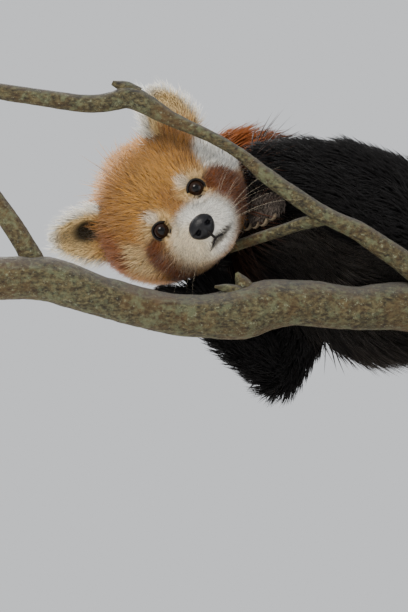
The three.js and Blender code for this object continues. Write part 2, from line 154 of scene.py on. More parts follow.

# %% [markdown]
# Soft light comes from a large lamp at the upper left and a weak fill from the right. A strong lamp behind
# draws the bright rim of hair along the crown and the back; on the crown the coat's colour also carries a
# painted rim highlight.

# %% Light and floor
world = bpy.data.worlds.new("studio")
world.use_nodes = True
sky = world.node_tree.nodes["Background"].inputs
sky["Color"].default_value = (0.90, 0.92, 0.95, 1)
sky["Strength"].default_value = 0.85
bpy.context.scene.world = world


def lamp(name, place, power, size, tint=(1, 1, 1)):
    light = bpy.data.lights.new(name, "AREA")
    light.energy = power
    light.size = size
    light.color = tint
    aim_at_model(linked(name, light), place)


lamp("key", (-1.3, -1.7, 1.7), 46, 1.0, (1, 0.95, 0.87))
lamp("fill", (1.6, -1.6, 0.8), 14, 1.6)
lamp("rim", (-1.0, 1.1, 1.5), 52, 0.6, (1, 0.99, 0.96))


def flat_material(name, color, roughness, values=None):
    """A plain material. More of the shader's values are given by their sockets' names."""
    material = bpy.data.materials.new(name)
    material.use_nodes = True
    sockets = material.node_tree.nodes["Principled BSDF"].inputs
    for socket, value in {"Base Color": (*color, 1), "Roughness": roughness, **(values or {})}.items():
        sockets[socket].default_value = value
    return material


NEAR, FAR, LEVEL = -5e3, 6e3, BOUGH_ORIGIN[2]
floor_points = [[NEAR, NEAR, LEVEL], [FAR, NEAR, LEVEL], [FAR, FAR, LEVEL], [NEAR, FAR, LEVEL]]
pale = flat_material("pale_floor", (0.78, 0.77, 0.75), 0.8)
floor = mesh_object("floor", floor_points, [(0, 1, 2, 3)], pale)
print("lights:", len(bpy.data.lights))

# %% [markdown]
# Materials and Geometry Nodes are both trees of nodes. Each tree below is written as a table of
# its nodes with their values, and a list of the wires between their sockets.

# %% Node trees from tables


def wired(tree, nodes, wires):
    """Adds named nodes to a tree and joins them. Each wire reads "node.output > node.input".

    A value under a number or a capital belongs to that input, and any other to the node itself."""
    made = {"shader": tree.nodes.get("Principled BSDF")}
    for name, entry in nodes.items():
        kind, values = (entry, {}) if isinstance(entry, str) else entry
        node = made[name] = tree.nodes.new(kind)
        for key, value in values.items():
            if isinstance(key, int) or key[0].isupper():
                node.inputs[key].default_value = value
            else:
                setattr(node, key, value)
    for wire in wires:
        (source, output), (target, socket) = (end.split(".") for end in wire.split(" > "))
        socket = int(socket) if socket.isdigit() else socket
        tree.links.new(made[source].outputs[output], made[target].inputs[socket])
    return made


def node_group(name, kind, inputs, output):
    """An empty group with named inputs, and one output that has the name of its kind."""
    tree = bpy.data.node_groups.new(name, kind)
    for socket, socket_kind in inputs.items():
        tree.interface.new_socket(socket, in_out="INPUT", socket_type="NodeSocket" + socket_kind)
    tree.interface.new_socket(output, in_out="OUTPUT", socket_type="NodeSocket" + output)
    return tree


print("node tables ready")

# %% [markdown]
# Every round part of the animal follows a smooth path with a half width and a half height at each
# station. A form holds such a path, and can give its frame at any share of the way along.

# %% A form along a path


def smooth_path(knots, t):
    """Points at shares t of a path through the knots, even where the knots are unevenly spaced."""
    knots = np.asarray(knots, float)
    last = len(knots) - 1
    wide = np.vstack([2 * knots[0] - knots[1], knots, 2 * knots[-1] - knots[-2]])
    at = np.clip(t, 0, 1) * last
    i = np.minimum(at.astype(int), last - 1)
    w = (at - i)[:, None]
    a, b, c, d = wide[i], wide[i + 1], wide[i + 2], wide[i + 3]
    steps = ((a, b), (b, c), (c, d))
    s0, s1, s2 = (np.maximum(np.linalg.norm(q - p, axis=1)[:, None] ** 0.5, 1e-4) for p, q in steps)
    m1 = ((b - a) / s0 - (c - a) / (s0 + s1) + (c - b) / s1) * s1
    m2 = ((c - b) / s1 - (d - b) / (s1 + s2) + (d - c) / s2) * s1
    return b + m1 * w + (-3 * b + 3 * c - 2 * m1 - m2) * w**2 + (2 * b - 2 * c + m1 + m2) * w**3


class Form:
    def __init__(self, stations, up=UP, axis=None, ends=(1, 1), place=None):
        table = np.array([list(s) if len(s) == 5 else [*s, s[3]] for s in stations], float)
        self.knots, self.sizes = table[:, :3], table[:, 3:]
        self.up, self.axis, self.ends = np.asarray(up, float), axis, ends
        self.place = np.eye(4) if place is None else place

    def frame(self, t):
        t = np.atleast_1d(np.asarray(t, float))
        middle = smooth_path(self.knots, t)
        after, before = (smooth_path(self.knots, np.clip(t + step, 0, 1)) for step in (0.01, -0.01))
        along = unit(after - before) if self.axis is None else np.tile(self.axis, (len(t), 1))
        across = unit(np.cross(along, self.up))
        top = np.cross(across, along)
        last = len(self.sizes) - 1
        size = np.stack([np.interp(t * last, range(last + 1), self.sizes[:, k]) for k in (0, 1)], 1)
        turned = self.place[:3, :3].T
        return middle @ turned + self.place[:3, 3], along @ turned, across @ turned, top @ turned, size

    def shell(self, sides=28, rings=30, cap=6):
        """Points and faces of the closed surface, with rounded ends."""
        bend = np.linspace(0, np.pi / 2, cap + 1)[:-1]
        t = np.concatenate([np.zeros(cap), np.linspace(0, 1, rings), np.ones(cap)])
        reach = np.concatenate([-np.cos(bend), np.zeros(rings), np.cos(bend[::-1])])
        narrow = np.maximum(np.concatenate([np.sin(bend), np.ones(rings), np.sin(bend[::-1])]), 0.02)
        middle, along, across, top, size = self.frame(t)
        swell = np.where(t < 0.5, self.ends[0], self.ends[1]) * size.min(1)
        turn = full_turn(sides)
        ring = (middle + along * (reach * swell)[:, None])[:, None]
        wide, high = ((size[:, k:k + 1] * narrow[:, None])[:, :, None] for k in (0, 1))
        ring = ring + across[:, None] * (np.cos(turn)[None, :, None] * wide)
        ring = ring + top[:, None] * (np.sin(turn)[None, :, None] * high)
        return ring.reshape(-1, 3), closed_faces(len(t), sides)


print("form helper ready")

# %% [markdown]
# The head has a frame of its own: x to the animal's left, y to its crown and z out of its face,
# from the point halfway between the eyes. It is rolled by half a right angle and tipped up a little.

# %% The head's own frame
ROLL, TIP = math.radians(50.9), math.radians(7)
HEAD = np.array(
    Matrix.Translation((-21.8, 6, 85)) @ Matrix.Rotation(TIP, 4, "X") @ Matrix.Rotation(-ROLL, 4, "Y")
    @ Matrix(((1, 0, 0, 0), (0, 0, -1, 0), (0, 1, 0, 0), (0, 0, 0, 1)))
)
CROWN, FACE = np.array([0.0, 1.0, 0.0]), np.array([0.0, 0.0, 1.0])
EYE_SIDE, EYE_DEPTH, EYE_RADIUS = 23.7, 8.8, 8.6
EYES = np.array([[EYE_SIDE, 0, EYE_DEPTH], [-EYE_SIDE, 0, EYE_DEPTH]])
MOUTH_LINE = -42.5, 0.006


def from_head(points):
    return np.asarray(points, float) @ HEAD[:3, :3].T + HEAD[:3, 3]


def into_head(points):
    return (np.asarray(points, float) - HEAD[:3, 3]) @ HEAD[:3, :3]


def mouth_height(x):
    """How high the line between the lips lies at each distance from the middle of the face."""
    return MOUTH_LINE[0] - MOUTH_LINE[1] * x**2


print("nose in the row frame:", to_row(from_head([0, -26, 58])).round(3))

# %% [markdown]
# The stations are those of the solids. Each carries the height that its coat stands above the
# skin, and the skin's form is drawn in by that much, so that the tips end where the solids do.

# %% Forms of the skin, with the coat's height on each


def drawn_in(stations, depth):
    table = [list(s) if len(s) == 5 else [*s, s[3]] for s in stations]
    depth = np.broadcast_to(depth, len(table))
    return [[x, y, z, a - d, b - d] for (x, y, z, a, b), d in zip(table, depth)]


SKULL = [
    [0, 9, -92, 46, 38], [0, 12, -76, 65, 55], [0, 12, -58, 76, 65], [0, 10, -38, 78, 68],
    [0, 4, -18, 72, 62], [0, -9, -2, 59, 49], [0, -21, 10, 44, 35], [0, -28, 22, 34, 29],
    [0, -31, 34, 28, 25], [0, -31, 43, 20, 20],
]
SKULL_COAT = [12, 13, 14, 13, 9, 5, 3.5, 2.4, 1.8, 1.4]
LEGS = {
    "foreleg_left_upper": [[210, 62, 52, 54], [168, 54, 86, 60], [126, 46, 106, 54]],
    "foreleg_left_lower": [[128, 46, 106, 53], [92, 42, 118, 44], [60, 40, 124, 33]],
    "foreleg_right_upper": [[106, 108, 30, 44], [82, 98, -8, 38], [66, 86, -46, 30]],
    "foreleg_right_lower": [[66, 86, -46, 30], [36, 68, -20, 32], [2, 48, 14, 32]],
    "hindleg_left_upper": [[376, 66, 38, 58], [338, 34, 34, 52], [304, 16, 20, 38]],
    "hindleg_left_lower": [[304, 16, 18, 36], [312, 14, -14, 28], [322, 14, -38, 22]],
    "hindleg_right_upper": [[376, 132, 30, 56], [340, 158, 12, 48], [314, 168, -8, 36]],
    "hindleg_right_lower": [[314, 168, -10, 34], [328, 162, -34, 27], [342, 152, -56, 21]],
}
NECK = [[-16, 62, 86, 58, 58], [18, 80, 104, 66, 70], [62, 88, 92, 72, 76], [104, 90, 66, 74, 74]]
TORSO = [
    [98, 90, 62, 72, 74], [130, 90, 46, 77, 83], [170, 90, 40, 80, 83], [230, 94, 42, 81, 83],
    [300, 98, 44, 82, 84], [360, 100, 40, 80, 82], [408, 102, 34, 69, 70],
]
TAIL = [
    [452, 104, 26, 46], [496, 110, -8, 50], [516, 112, -66, 53], [508, 108, -132, 54],
    [486, 100, -190, 52], [466, 90, -238, 46], [459, 84, -274, 35],
]
EAR = [[0, 0, 0, 27, 10], [0, 12, 0, 27, 9], [0, 26, 0, 22, 8], [0, 38, 0, 15, 6], [0, 47, 0, 8, 4]]
EARS = {"ear_left": ((52, 46, -34), -22, 22), "ear_right": ((-58, 40, -34), 44, -22)}
COAT = {"neck": 20, "torso": 22, "leg": 13, "tail": 30, "ear": 2.2, "paw": 2.4, "toe": 1.2}


def ear_half_width(v):
    """Half the width of an ear's cup at each height above the ear's root."""
    return np.interp(v, [0, 12, 26, 38, 47], [25, 25, 20, 13, 6])


forms = {"head": Form(drawn_in(SKULL, SKULL_COAT), CROWN, FACE, (0.5, 0.32), HEAD)}
for name, (at, lean, turn) in EARS.items():
    tilt = Matrix.Rotation(math.radians(lean), 4, "Z") @ Matrix.Rotation(math.radians(turn), 4, "Y")
    place = HEAD @ np.array(Matrix.Translation(at) @ tilt)
    forms[name] = Form(drawn_in(EAR, COAT["ear"]), place=place)
forms["neck"] = Form(drawn_in(NECK, COAT["neck"]))
forms["torso"] = Form(drawn_in(TORSO, COAT["torso"]))
forms["tail"] = Form(drawn_in(TAIL, COAT["tail"]), BACK)
for name, stations in LEGS.items():
    forms[name] = Form(drawn_in(stations, COAT["leg"]), BACK)
print("forms:", len(forms))

# %% [markdown]
# A paw is a palm and five toes along the line from the wrist to the toes. Each toe ends where its
# claw starts, so the claws' roots are noted here as well.

# %% Paws
PAWS = {
    "paw_fore_left": ([58, 40, 116], [52, 22, 82], [1, -0.6, 0.35], 21, 15),
    "paw_fore_right": ([0, 46, 2], [-32, 20, 1], [0.2, 0.6, 1], 21, 15),
    "paw_hind_left": ([322, 14, -38], [258, 8, -8], [0.3, 1, 0.5], 22, 16),
    "paw_hind_right": ([342, 152, -56], [284, 118, -66], [0.3, 1, 0.5], 22, 16),
}
toe_forms = []
claw_roots, claw_aims, claw_tops = [], [], []
for name, (wrist, toe, across, wide, thick) in PAWS.items():
    start = np.array(wrist, float)
    length = np.linalg.norm(np.array(toe, float) - start)
    ahead = (np.array(toe, float) - start) / length
    side = unit(np.array(across, float) - ahead * np.array(across, float).dot(ahead))
    top = unit(np.cross(side, ahead))

    def spot(forward, beside, above, *sizes):
        return [*(start + ahead * forward + side * beside + top * above), *sizes]

    palm = [
        spot(-8, 0, 0, wide, thick), spot(length * 0.35, 0, 0, wide, thick),
        spot(length * 0.7, 0, -1, wide * 1.02, thick * 0.9),
    ]
    forms[name] = Form(drawn_in(palm, COAT["paw"]), top)
    for spread in (-1, -0.5, 0, 0.5, 1):
        reach, beside = length * (1.02 - 0.1 * spread**2), spread * wide * 0.82
        stations = [
            spot(length * 0.55, beside * 0.9, -1, 5.5, 6.5), spot(reach, beside, -2, 5.5, 6.5),
            spot(reach + 7, beside, -5, 4.5, 5),
        ]
        toe_forms.append(Form(drawn_in(stations, COAT["toe"]), top))
        claw_roots.append(spot(reach + 7, beside, -4.5))
        claw_aims.append(ahead)
        claw_tops.append(top)
print("claws:", len(claw_roots))

# %% [markdown]
# The skin is one closed surface, so that no seam shows between the parts. All forms go into one
# mesh, a voxel remesh melts them together, and a light smoothing takes the steps off. Round balls
# stand in for the eyeballs under their lids.

# %% Skin


def joined(shells):
    points, faces, start = [], [], 0
    for some_points, some_faces in shells:
        points.append(some_points)
        faces += [tuple(i + start for i in face) for face in some_faces]
        start += len(some_points)
    return np.concatenate(points), faces


def ball(centre, radii, wide=24, high=14):
    lift = np.linspace(-np.pi / 2, np.pi / 2, high + 1)
    lift[[0, -1]] += (0.02, -0.02)
    turn = full_turn(wide)
    level, height = np.cos(lift)[:, None], np.repeat(np.sin(lift)[:, None], wide, 1)
    points = np.stack([level * np.cos(turn), level * np.sin(turn), height], -1)
    return points.reshape(-1, 3) * radii + centre, closed_faces(high + 1, wide)


def head_ball(centre, radii):
    points, faces = ball(centre, radii)
    return from_head(points), faces


VOXEL, QUICK_VOXEL = 0.0027, 0.005
shells = [form.shell() for form in forms.values()] + [form.shell(14, 8, 4) for form in toe_forms]
shells += [head_ball(eye, [EYE_RADIUS + 1.2] * 3) for eye in EYES]
shells += [head_ball([side * 11, -36, 36], [13, 10, 12]) for side in (-1, 1)]
shells += [head_ball([0, -49, 36], [13, 7, 10])]
skin = mesh_object("skin", *joined(shells))
remesh = skin.modifiers.new("melt", "REMESH")
remesh.mode = "VOXEL"
remesh.voxel_size = VOXEL
smooth = skin.modifiers.new("soften", "SMOOTH")
smooth.factor = 0.5
smooth.iterations = 4
skin = baked(skin)
print("skin faces:", len(skin.data.polygons))

# %% [markdown]
# Three places are shaped by moving the skin's own points: the lids open over each eye, the ears'
# fronts sink into cups, and the line of the mouth is pressed in below the nose.

# %% Shape the lids, ears and mouth


def read_triples(items, key, kind=np.float32):
    flat = np.empty(len(items) * 3, kind)
    items.foreach_get(key, flat)
    return flat.reshape(-1, 3)


def points_of(mesh):
    return read_triples(mesh.vertices, "co").astype(float) * 1000 + BOUGH_ORIGIN


def set_points(mesh, points):
    mesh.vertices.foreach_set("co", to_row(points).astype(np.float32).ravel())
    mesh.update()


def in_form(name, points):
    place = forms[name].place
    return (points - place[:3, 3]) @ place[:3, :3]


body = points_of(skin.data)
local = into_head(body)
LID_OPENING = 8.6, 8.2
SOCKET_REACH, SOCKET_FLOOR, SOCKET_SLOPE = 2.1, 6.0, 9
for eye in EYES:
    away = local - eye
    distance = np.linalg.norm(away, axis=1)
    share = np.hypot(away[:, 0] / LID_OPENING[0], away[:, 1] / LID_OPENING[1])
    inside = (away[:, 2] > 0) & (distance < 16) & (share < 1)
    local[inside] = eye + away[inside] / distance[inside, None] * (EYE_RADIUS - 2.5)
    socket = ~inside & (share < SOCKET_REACH) & (away[:, 2] > 0) & (away[:, 2] < 30)
    rim_height = eye[2] + SOCKET_FLOOR + (share[socket] - 1) * SOCKET_SLOPE
    local[socket, 2] = np.minimum(local[socket, 2], rim_height)
x, y, z = local.T
groove = np.exp(-(((y - mouth_height(x)) / 1.8) ** 2)) * (np.abs(x) < 22) * (z > 18)
local[:, 2] -= 2.2 * groove
body = from_head(local)
for name in EARS:
    spot = in_form(name, body)
    q = (spot[:, 0] / (0.74 * ear_half_width(spot[:, 1]))) ** 2 + ((spot[:, 1] - 21) / 22) ** 2
    sunk = (spot[:, 2] > -2) & (q < 1) & (np.abs(spot[:, 0]) < 30) & (spot[:, 2] < 16)
    spot[sunk, 2] -= 11 * np.sqrt(1 - q[sunk])
    place = forms[name].place
    body[sunk] = spot[sunk] @ place[:3, :3].T + place[:3, 3]
set_points(skin.data, body)
print("skin shaped")

# %% [markdown]
# For every point of the skin the nearest form tells which part it belongs to, how far along and
# round that part it lies, and which way the coat lies there. On the head the hair runs back from
# the nose; elsewhere it follows the form's path from head to tail, or down a leg to the paw.

# %% Which part each point of the skin belongs to


def nearest_part(points):
    """The nearest form of each point, the share along it, the turn about it and the way it runs."""
    best = np.full(len(points), 1e9)
    part = np.zeros(len(points), int)
    share, turn = np.zeros(len(points)), np.zeros(len(points))
    lie = np.zeros((len(points), 3))
    t = np.linspace(0, 1, 25)
    for index, form in enumerate(forms.values()):
        middle, along, across, top, size = form.frame(t)
        for k in range(len(t)):
            away = points - middle[k]
            x, y, z = away @ across[k], away @ top[k], away @ along[k]
            beyond = (k == 0) * np.minimum(z, 0) + (k == len(t) - 1) * np.maximum(z, 0)
            rise = (np.hypot(x / size[k, 0], y / size[k, 1]) - 1) * size[k].min()
            score = np.abs(rise) + np.abs(z) * 0.8 - np.abs(beyond) * 0.5
            closer = score < best
            best[closer], part[closer], share[closer] = score[closer], index, t[k]
            turn[closer] = np.arctan2(y[closer] / size[k, 1], x[closer] / size[k, 0])
            lie[closer] = along[k]
    return part, share, turn, lie


body = points_of(skin.data)
facing = read_triples(skin.data.vertex_normals, "vector").astype(float)
part, share, turn, lie = nearest_part(body)
names = list(forms)
is_part = {name: part == i for i, name in enumerate(names)}
local = into_head(body)
on_head = is_part["head"]
lie[on_head] = unit(local[on_head] - [0, -20, 56]) @ HEAD[:3, :3].T
for eye in EYES:
    away = (local - eye) * [1, 1, 0]
    beyond_lid = np.maximum(np.hypot(away[:, 0], away[:, 1]) - 8, 0)
    near_eye = (np.exp(-((beyond_lid / 5) ** 2)) * (local[:, 2] > -5))[:, None]
    turned = lie * (1 - near_eye) + (unit(away) @ HEAD[:3, :3].T) * (1.3 * near_eye)
    lie = np.where(on_head[:, None], turned, lie)
for name in EARS:
    spot = in_form(name, body)
    out = np.stack([spot[:, 0] * 0.03, np.ones(len(spot)), 0 * spot[:, 0]], 1)
    lie[is_part[name]] = (unit(out) @ forms[name].place[:3, :3].T)[is_part[name]]
for name in PAWS:
    lie[is_part[name]] = forms[name].frame([1.0])[1][0]
lie = unit(lie - facing * (lie * facing).sum(1, keepdims=True))
print({name: int(mask.sum()) for name, mask in is_part.items()})

# %% [markdown]
# A red panda's markings are the same on skin and coat: a golden to rusty crown, white muzzle,
# brows and cheeks, reddish tear marks from the eyes down to the jaw, a red back, black legs and
# underside, and a tail in rings. Each is a soft-edged patch placed by the animal's own frame.

# %% Colours of the coat
HUES = {name: np.array(value) for name, value in {
    "black": (0.005, 0.0045, 0.005), "brown": (0.035, 0.014, 0.006), "red": (0.26, 0.060, 0.012),
    "rust": (0.30, 0.090, 0.012), "gold": (0.56, 0.29, 0.050), "tan": (0.39, 0.170, 0.022),
    "white": (0.88, 0.85, 0.77), "cream": (0.78, 0.58, 0.29), "tear": (0.185, 0.050, 0.005),
    "buff": (0.50, 0.26, 0.08), "grey": (0.15, 0.12, 0.10), "olive": (0.05, 0.035, 0.016),
}.items()}
# Hue, side of the face, middle, radii, lean in degrees, softness of the edge, strength.
FACE_PATCHES = [
    ("cream", "both", (25, 3), (16, 14), 0, 0.4, 0.7),
    ("white", "left", (58, 5), (15, 23), 13, 0.22, 1),
    # The right cheek patch is cream where the left one is white: painted shade on the lower side of the face.
    ("cream", "right", (-53, -2), (11, 21), 15, 0.35, 0.75),
    ("rust", "right", (-67, 15), (9, 26), -31, 0.35, 0.95),
    ("tear", "left", (43, -15), (12, 19), 16, 0.2, 1),
    ("tear", "right", (-40, -14), (10, 17), -10, 0.25, 1),
    ("tear", "both", (40, -38), (12, 13), 0, 0.4, 0.95),
    ("white", "both", (21, 14), (6, 5.5), 25, 0.5, 0.5),
    ("white", "all", (0, -28), (32, 25.5), 0, 0.18, 1),
    # The cream over the right half of the white muzzle is painted shade on that lower side of the face.
    ("cream", "all", (-20, -28), (16, 24), 0, 0.5, 0.55),
    ("tan", "all", (2, 13), (8, 11), 0, 0.6, 0.8),
]
TAIL_RINGS = 6.5


def patch(x, y, at, radii, lean=0, soft=0.35):
    """How much of a soft-edged oval covers each point, from 0 to 1."""
    c, s = math.cos(math.radians(lean)), math.sin(math.radians(lean))
    dx, dy = x - at[0], y - at[1]
    q = np.hypot((dx * c + dy * s) / radii[0], (-dx * s + dy * c) / radii[1])
    return 1 - smoothstep(q, 1 - soft, 1 + soft)


def painted(points, base, *coats):
    """A plain colour at every point, with coats of other hues laid over it in turn."""
    color = np.tile(base, (len(points), 1))
    for hue, amount in coats:
        color = color + (HUES[hue] - color) * np.clip(amount, 0, 1)[:, None]
    return color


def among(part, *starts):
    """Which points belong to a part whose name starts in one of these ways."""
    return np.isin(part, [i for i, name in enumerate(names) if name.startswith(starts)])


def body_color(points, part, share, facing):
    x, y, z = points.T
    ahead, down = -facing[:, 1], -facing[:, 2]
    color = painted(
        points, HUES["red"],
        ("brown", smoothstep(down, -0.1, 0.5) * 0.9),
        ("black", smoothstep(down, 0.35, 0.8)),
        # The brown on the torso's side that faces the viewer, and the black on the near half of the shoulders
        # and chest, are partly the dark of a red panda's shoulders and partly painted shade of that backlit
        # side.
        ("brown", patch(x, z, (90, 20), (95, 52)) * smoothstep(ahead, 0.0, 0.4)),
        ("rust", smoothstep(-x, -45, 10) * smoothstep(-down, 0.0, 0.5) * 0.9),
        ("black", smoothstep(x, 22, 42) * smoothstep(-x, -190, -150) * smoothstep(-y, -112, -88)),
        ("black", among(part, "foreleg", "hindleg", "paw")),
        ("grey", among(part, "paw") * (share > 0.8) * 0.8),
        ("black", among(part, "paw_fore_right")),
    )
    ring = smoothstep(0.5 + 0.5 * np.sin(share * 2 * np.pi * TAIL_RINGS), 0.42, 0.62)
    tail = painted(points, HUES["red"] * 0.9, ("buff", ring), ("brown", smoothstep(share, 0.9, 1.0)))
    return np.where(among(part, "tail")[:, None], tail, color)


def face_color(points):
    x, y, z = into_head(points).T
    beside = np.abs(x)
    outward = np.hypot(x / 80, (y - 8) / 74)
    around_eye = np.hypot((beside - EYE_SIDE) / 9.4, y / 9)
    half = {"left": x > 0, "right": x < 0}
    patches = []
    for hue, side, at, radii, lean, soft, amount in FACE_PATCHES:
        cover = patch(beside if side == "both" else x, y, at, radii, lean, soft)
        patches.append((hue, cover * amount * half.get(side, 1)))
    return painted(
        points, HUES["tan"],
        ("gold", patch(x, y, (0, 26), (34, 26), 0, 0.6) * 0.6),
        ("rust", smoothstep(outward, 0.78, 1.0) * 0.4),
        # The cream along the upper outline of the head is a painted rim highlight, for the backlit hair at
        # the crown's edge.
        ("cream", smoothstep(outward, 0.99, 1.08) * smoothstep(y, 25, 45) * 0.8),
        ("rust", smoothstep(-z, 40, 70)),
        *patches,
        ("olive", patch(x, y, (4, -43), (14, 3.2), 0, 0.35) * 0.85 * (z > 25)),
        ("brown", smoothstep(-y, 52, 62) * (1 - patch(x, y, (0, -45), (22, 14), 0, 0.3))),
        ("brown", smoothstep(-z, 20, 45) * smoothstep(-y, 22, 40)),
        ("olive", (1 - smoothstep(around_eye, 0.95, 1.08)) * (z > 0) * 0.9),
    )


def ear_color(name, points, facing):
    """Fur of an ear: pale and golden in its cup, darkest in the right one, with a white rim."""
    u, v, _ = in_form(name, points).T
    across = np.abs(u) / ear_half_width(v)
    dark = name == "ear_right"
    cup = painted(
        points, HUES["cream"],
        ("gold", patch(u, v, (0, -4), (24, 18), 0, 0.6) * (0.9 if dark else 0.6)),
        ("olive", patch(u, v, (4, 11), (10, 16), 24, 0.3) * dark),
        ("white", np.maximum(smoothstep(v, 34, 48), smoothstep(across, 0.75, 1.0)) * 0.9),
    )
    back = painted(
        points, HUES["gold"], ("white", smoothstep(across, 0.55, 0.9)), ("white", smoothstep(v, 22, 40)))
    front = smoothstep(facing @ forms[name].place[:3, 2], -0.15, 0.25)
    return back + (cup - back) * front[:, None]


def markings(points, part, share, facing):
    color = body_color(points, part, share, facing)
    color = np.where(among(part, "head")[:, None], face_color(points), color)
    for name in EARS:
        color = np.where(among(part, name)[:, None], ear_color(name, points, facing), color)
    return color


def set_colors(mesh, colors):
    attribute = mesh.color_attributes.new("Coat", "FLOAT_COLOR", "POINT")
    rgba = np.ones((len(colors), 4), np.float32)
    rgba[:, :3] = colors
    attribute.data.foreach_set("color", rgba.ravel())


skin_color = markings(body, part, share, facing)
SHADE_ON_HEAD, SHADE_ELSEWHERE = 0.8, 0.55
set_colors(skin.data, skin_color * np.where(on_head, SHADE_ON_HEAD, SHADE_ELSEWHERE)[:, None])
print("markings painted on", len(body), "points")

# %% [markdown]
# Fur materials read the painted attribute. A faint noise along the surface keeps broad areas from looking
# printed, and a sheen gives the soft light that hair throws back, only a trace of it on the black coat.

# %% Fur and skin materials


def hair_variation():
    tree = node_group("hair_variation", "ShaderNodeTree", {"Color": "Color", "Amount": "Float"}, "Color")
    wired(tree, {
        "enter": "NodeGroupInput", "leave": "NodeGroupOutput", "place": "ShaderNodeTexCoord",
        "noise": ("ShaderNodeTexNoise", {"Scale": 55, "Detail": 3}),
        "swing": ("ShaderNodeMapRange", {"To Min": 0.55, "To Max": 1.45}),
        "scaled": ("ShaderNodeVectorMath", {"operation": "SCALE"}),
        "mix": ("ShaderNodeMix", {"data_type": "RGBA"}),
    }, [
        "place.Object > noise.Vector", "noise.Fac > swing.Value", "enter.Color > scaled.0",
        "swing.Result > scaled.Scale", "enter.Amount > mix.Factor", "enter.Color > mix.A",
        "scaled.Vector > mix.B", "mix.Result > leave.Color",
    ])
    return tree


VARIATION = hair_variation()


def fur_material(name, roughness, sheen, tint=(1, 1, 1), amount=0.3):
    material = flat_material(name, (0.5, 0.5, 0.5), roughness, {
        "Sheen Weight": sheen, "Specular IOR Level": 0.2, "Sheen Tint": (*tint, 1),
    })
    wired(material.node_tree, {
        "coat": ("ShaderNodeAttribute", {"attribute_name": "Coat"}),
        "vary": ("ShaderNodeGroup", {"node_tree": VARIATION, "Amount": amount}),
    }, ["coat.Color > vary.Color", "vary.Color > shader.Base Color"])
    return material


FUR = {name: fur_material(name, *look) for name, look in {
    "fur_face": (0.62, 0.12), "fur_cream": (0.6, 0.15), "fur_red": (0.55, 0.12, (1, 0.85, 0.7)),
    "fur_black": (0.6, 0.02), "fur_tail": (0.6, 0.15),
}.items()}
skin.data.materials.append(fur_material("skin_under_coat", 0.8, 0.0))
FLESH = ("head", "ear_", "neck", "torso", "foreleg_", "hindleg_", "paw_", "tail_")
settle(skin, "fur_red", *[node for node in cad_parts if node.startswith(FLESH)])
print("fur materials:", list(FUR))

# %% [markdown]
# The perch's paths are needed before the coat, because hair that meets the bark lies against it.
# Tufts rooted inside the wood are left out, and tips that would enter it are laid along its side.

# %% Paths of the perch
LIMB = [
    [-196, -34, 19, 18], [-134, -30, 19, 19], [-90, -24, 6, 17.5], [-47, -16, -5, 17.5],
    [-4, -11, -10, 18.5], [31, -9, -7, 23], [57, -8, 0, 21.5], [83, -6, 2, 19.5], [127, -2, -2, 19],
    [177, 5, 0, 21], [225, 18, -12, 22], [265, 38, -34, 23],
    [305, 58, -55, 23.5], [350, 78, -68, 24], [400, 92, -72, 25], [450, 98, -76, 25.5], [486, 100, -80, 26],
]
BRANCH = [
    [-196, -16, 189, 7.2], [-138, -16, 180, 7.5], [-99, -15, 175.4, 7.6], [-78, -15, 178, 8.4],
    [-66, -16, 181, 10],
    [-49.5, -16, 174.2, 8.6], [-40, -16, 168.4, 8], [-31.6, -17, 163.4, 6.9], [-14.8, -17, 155.4, 5.8],
    [6.2, -18, 145.4, 5],
    [24, -20, 134.8, 5], [38, -21, 124.5, 5.6], [52, -22, 112, 6.6], [66.8, -23, 100.8, 7.3],
    [81.6, -24, 90.3, 7.6], [96.4, -25, 80, 7.5], [111, -26, 71.8, 7.4], [131, -25, 62.6, 8.4],
    [150, -21, 50.6, 9.3], [170, -16, 38, 9.6],
    [192, -8, 22, 11], [222, 8, 2, 14],
]
TWIG = [[22, 17, 53, 4.6], [42, 8, 58.8, 5], [72, -7, 66.7, 5.2], [86, -14, 70.4, 5.6], [106, -23, 73.5, 6]]
SHOOT = [[-140, -30, 24, 10], [-152, -31, 46, 9], [-166, -32, 68, 9], [-186, -33, 96, 8.5]]
SNAG = [[38, -12, 6, 11], [33, -15, 18, 6.5], [28, -17, 27, 1.8]]
SPUR = [[30, -17, 10, 6], [19, -20, 13, 4], [9, -22, 14, 1.5]]
KNOT = [[-58, -16, 183, 7], [-68, -17, 189, 6], [-80, -18, 193.5, 2.2]]


def wood_path(stations, count):
    """Points along a piece of wood, and its radius at each."""
    table = np.array(stations, float)
    t = np.linspace(0, 1, count)
    return smooth_path(table[:, :3], t), np.interp(t * (len(table) - 1), range(len(table)), table[:, 3])


wood = [wood_path(LIMB, 220), wood_path(BRANCH, 200)]
wood += [wood_path(path, 24) for path in (TWIG, SHOOT, SNAG, SPUR, KNOT)]
wood_at = np.concatenate([at for at, _ in wood])
wood_radius = np.concatenate([radius for _, radius in wood])
POINTS_AT_ONCE = 20000
OFF_BARK = 0.7


def out_of_wood(points, front=0.0):
    """For each point, its depth inside the wood in millimetres and the same point at the bark.

    Points with a share of `front` are led round to the side of the wood that faces the viewer."""
    depth, moved = np.full(len(points), -1e3), points.copy()
    front = np.broadcast_to(front, len(points))
    for start in range(0, len(points), POINTS_AT_ONCE):
        some = slice(start, start + POINTS_AT_ONCE)
        near = points[some, None, :] - wood_at[None]
        distance = np.sqrt((near**2).sum(2))
        index = (distance - wood_radius).argmin(1)
        rows = np.arange(len(index))
        d = distance[rows, index]
        depth[some] = wood_radius[index] - d
        out = near[rows, index] / np.maximum(d, 1e-6)[:, None]
        out = unit(out - BACK * front[some, None])
        moved[some] = wood_at[index] + out * (wood_radius[index] + OFF_BARK)[:, None]
    return depth, moved


print("perch samples:", len(wood_at))

# %% [markdown]
# Each tuft is a slim three-sided blade of solid mesh that rises from the skin and bends over along
# the lie of the coat, dark at its root and lightest at its tip. Its length follows the height of
# the coat there. Particle hair would look alike, but it isn't mesh and would be lost.

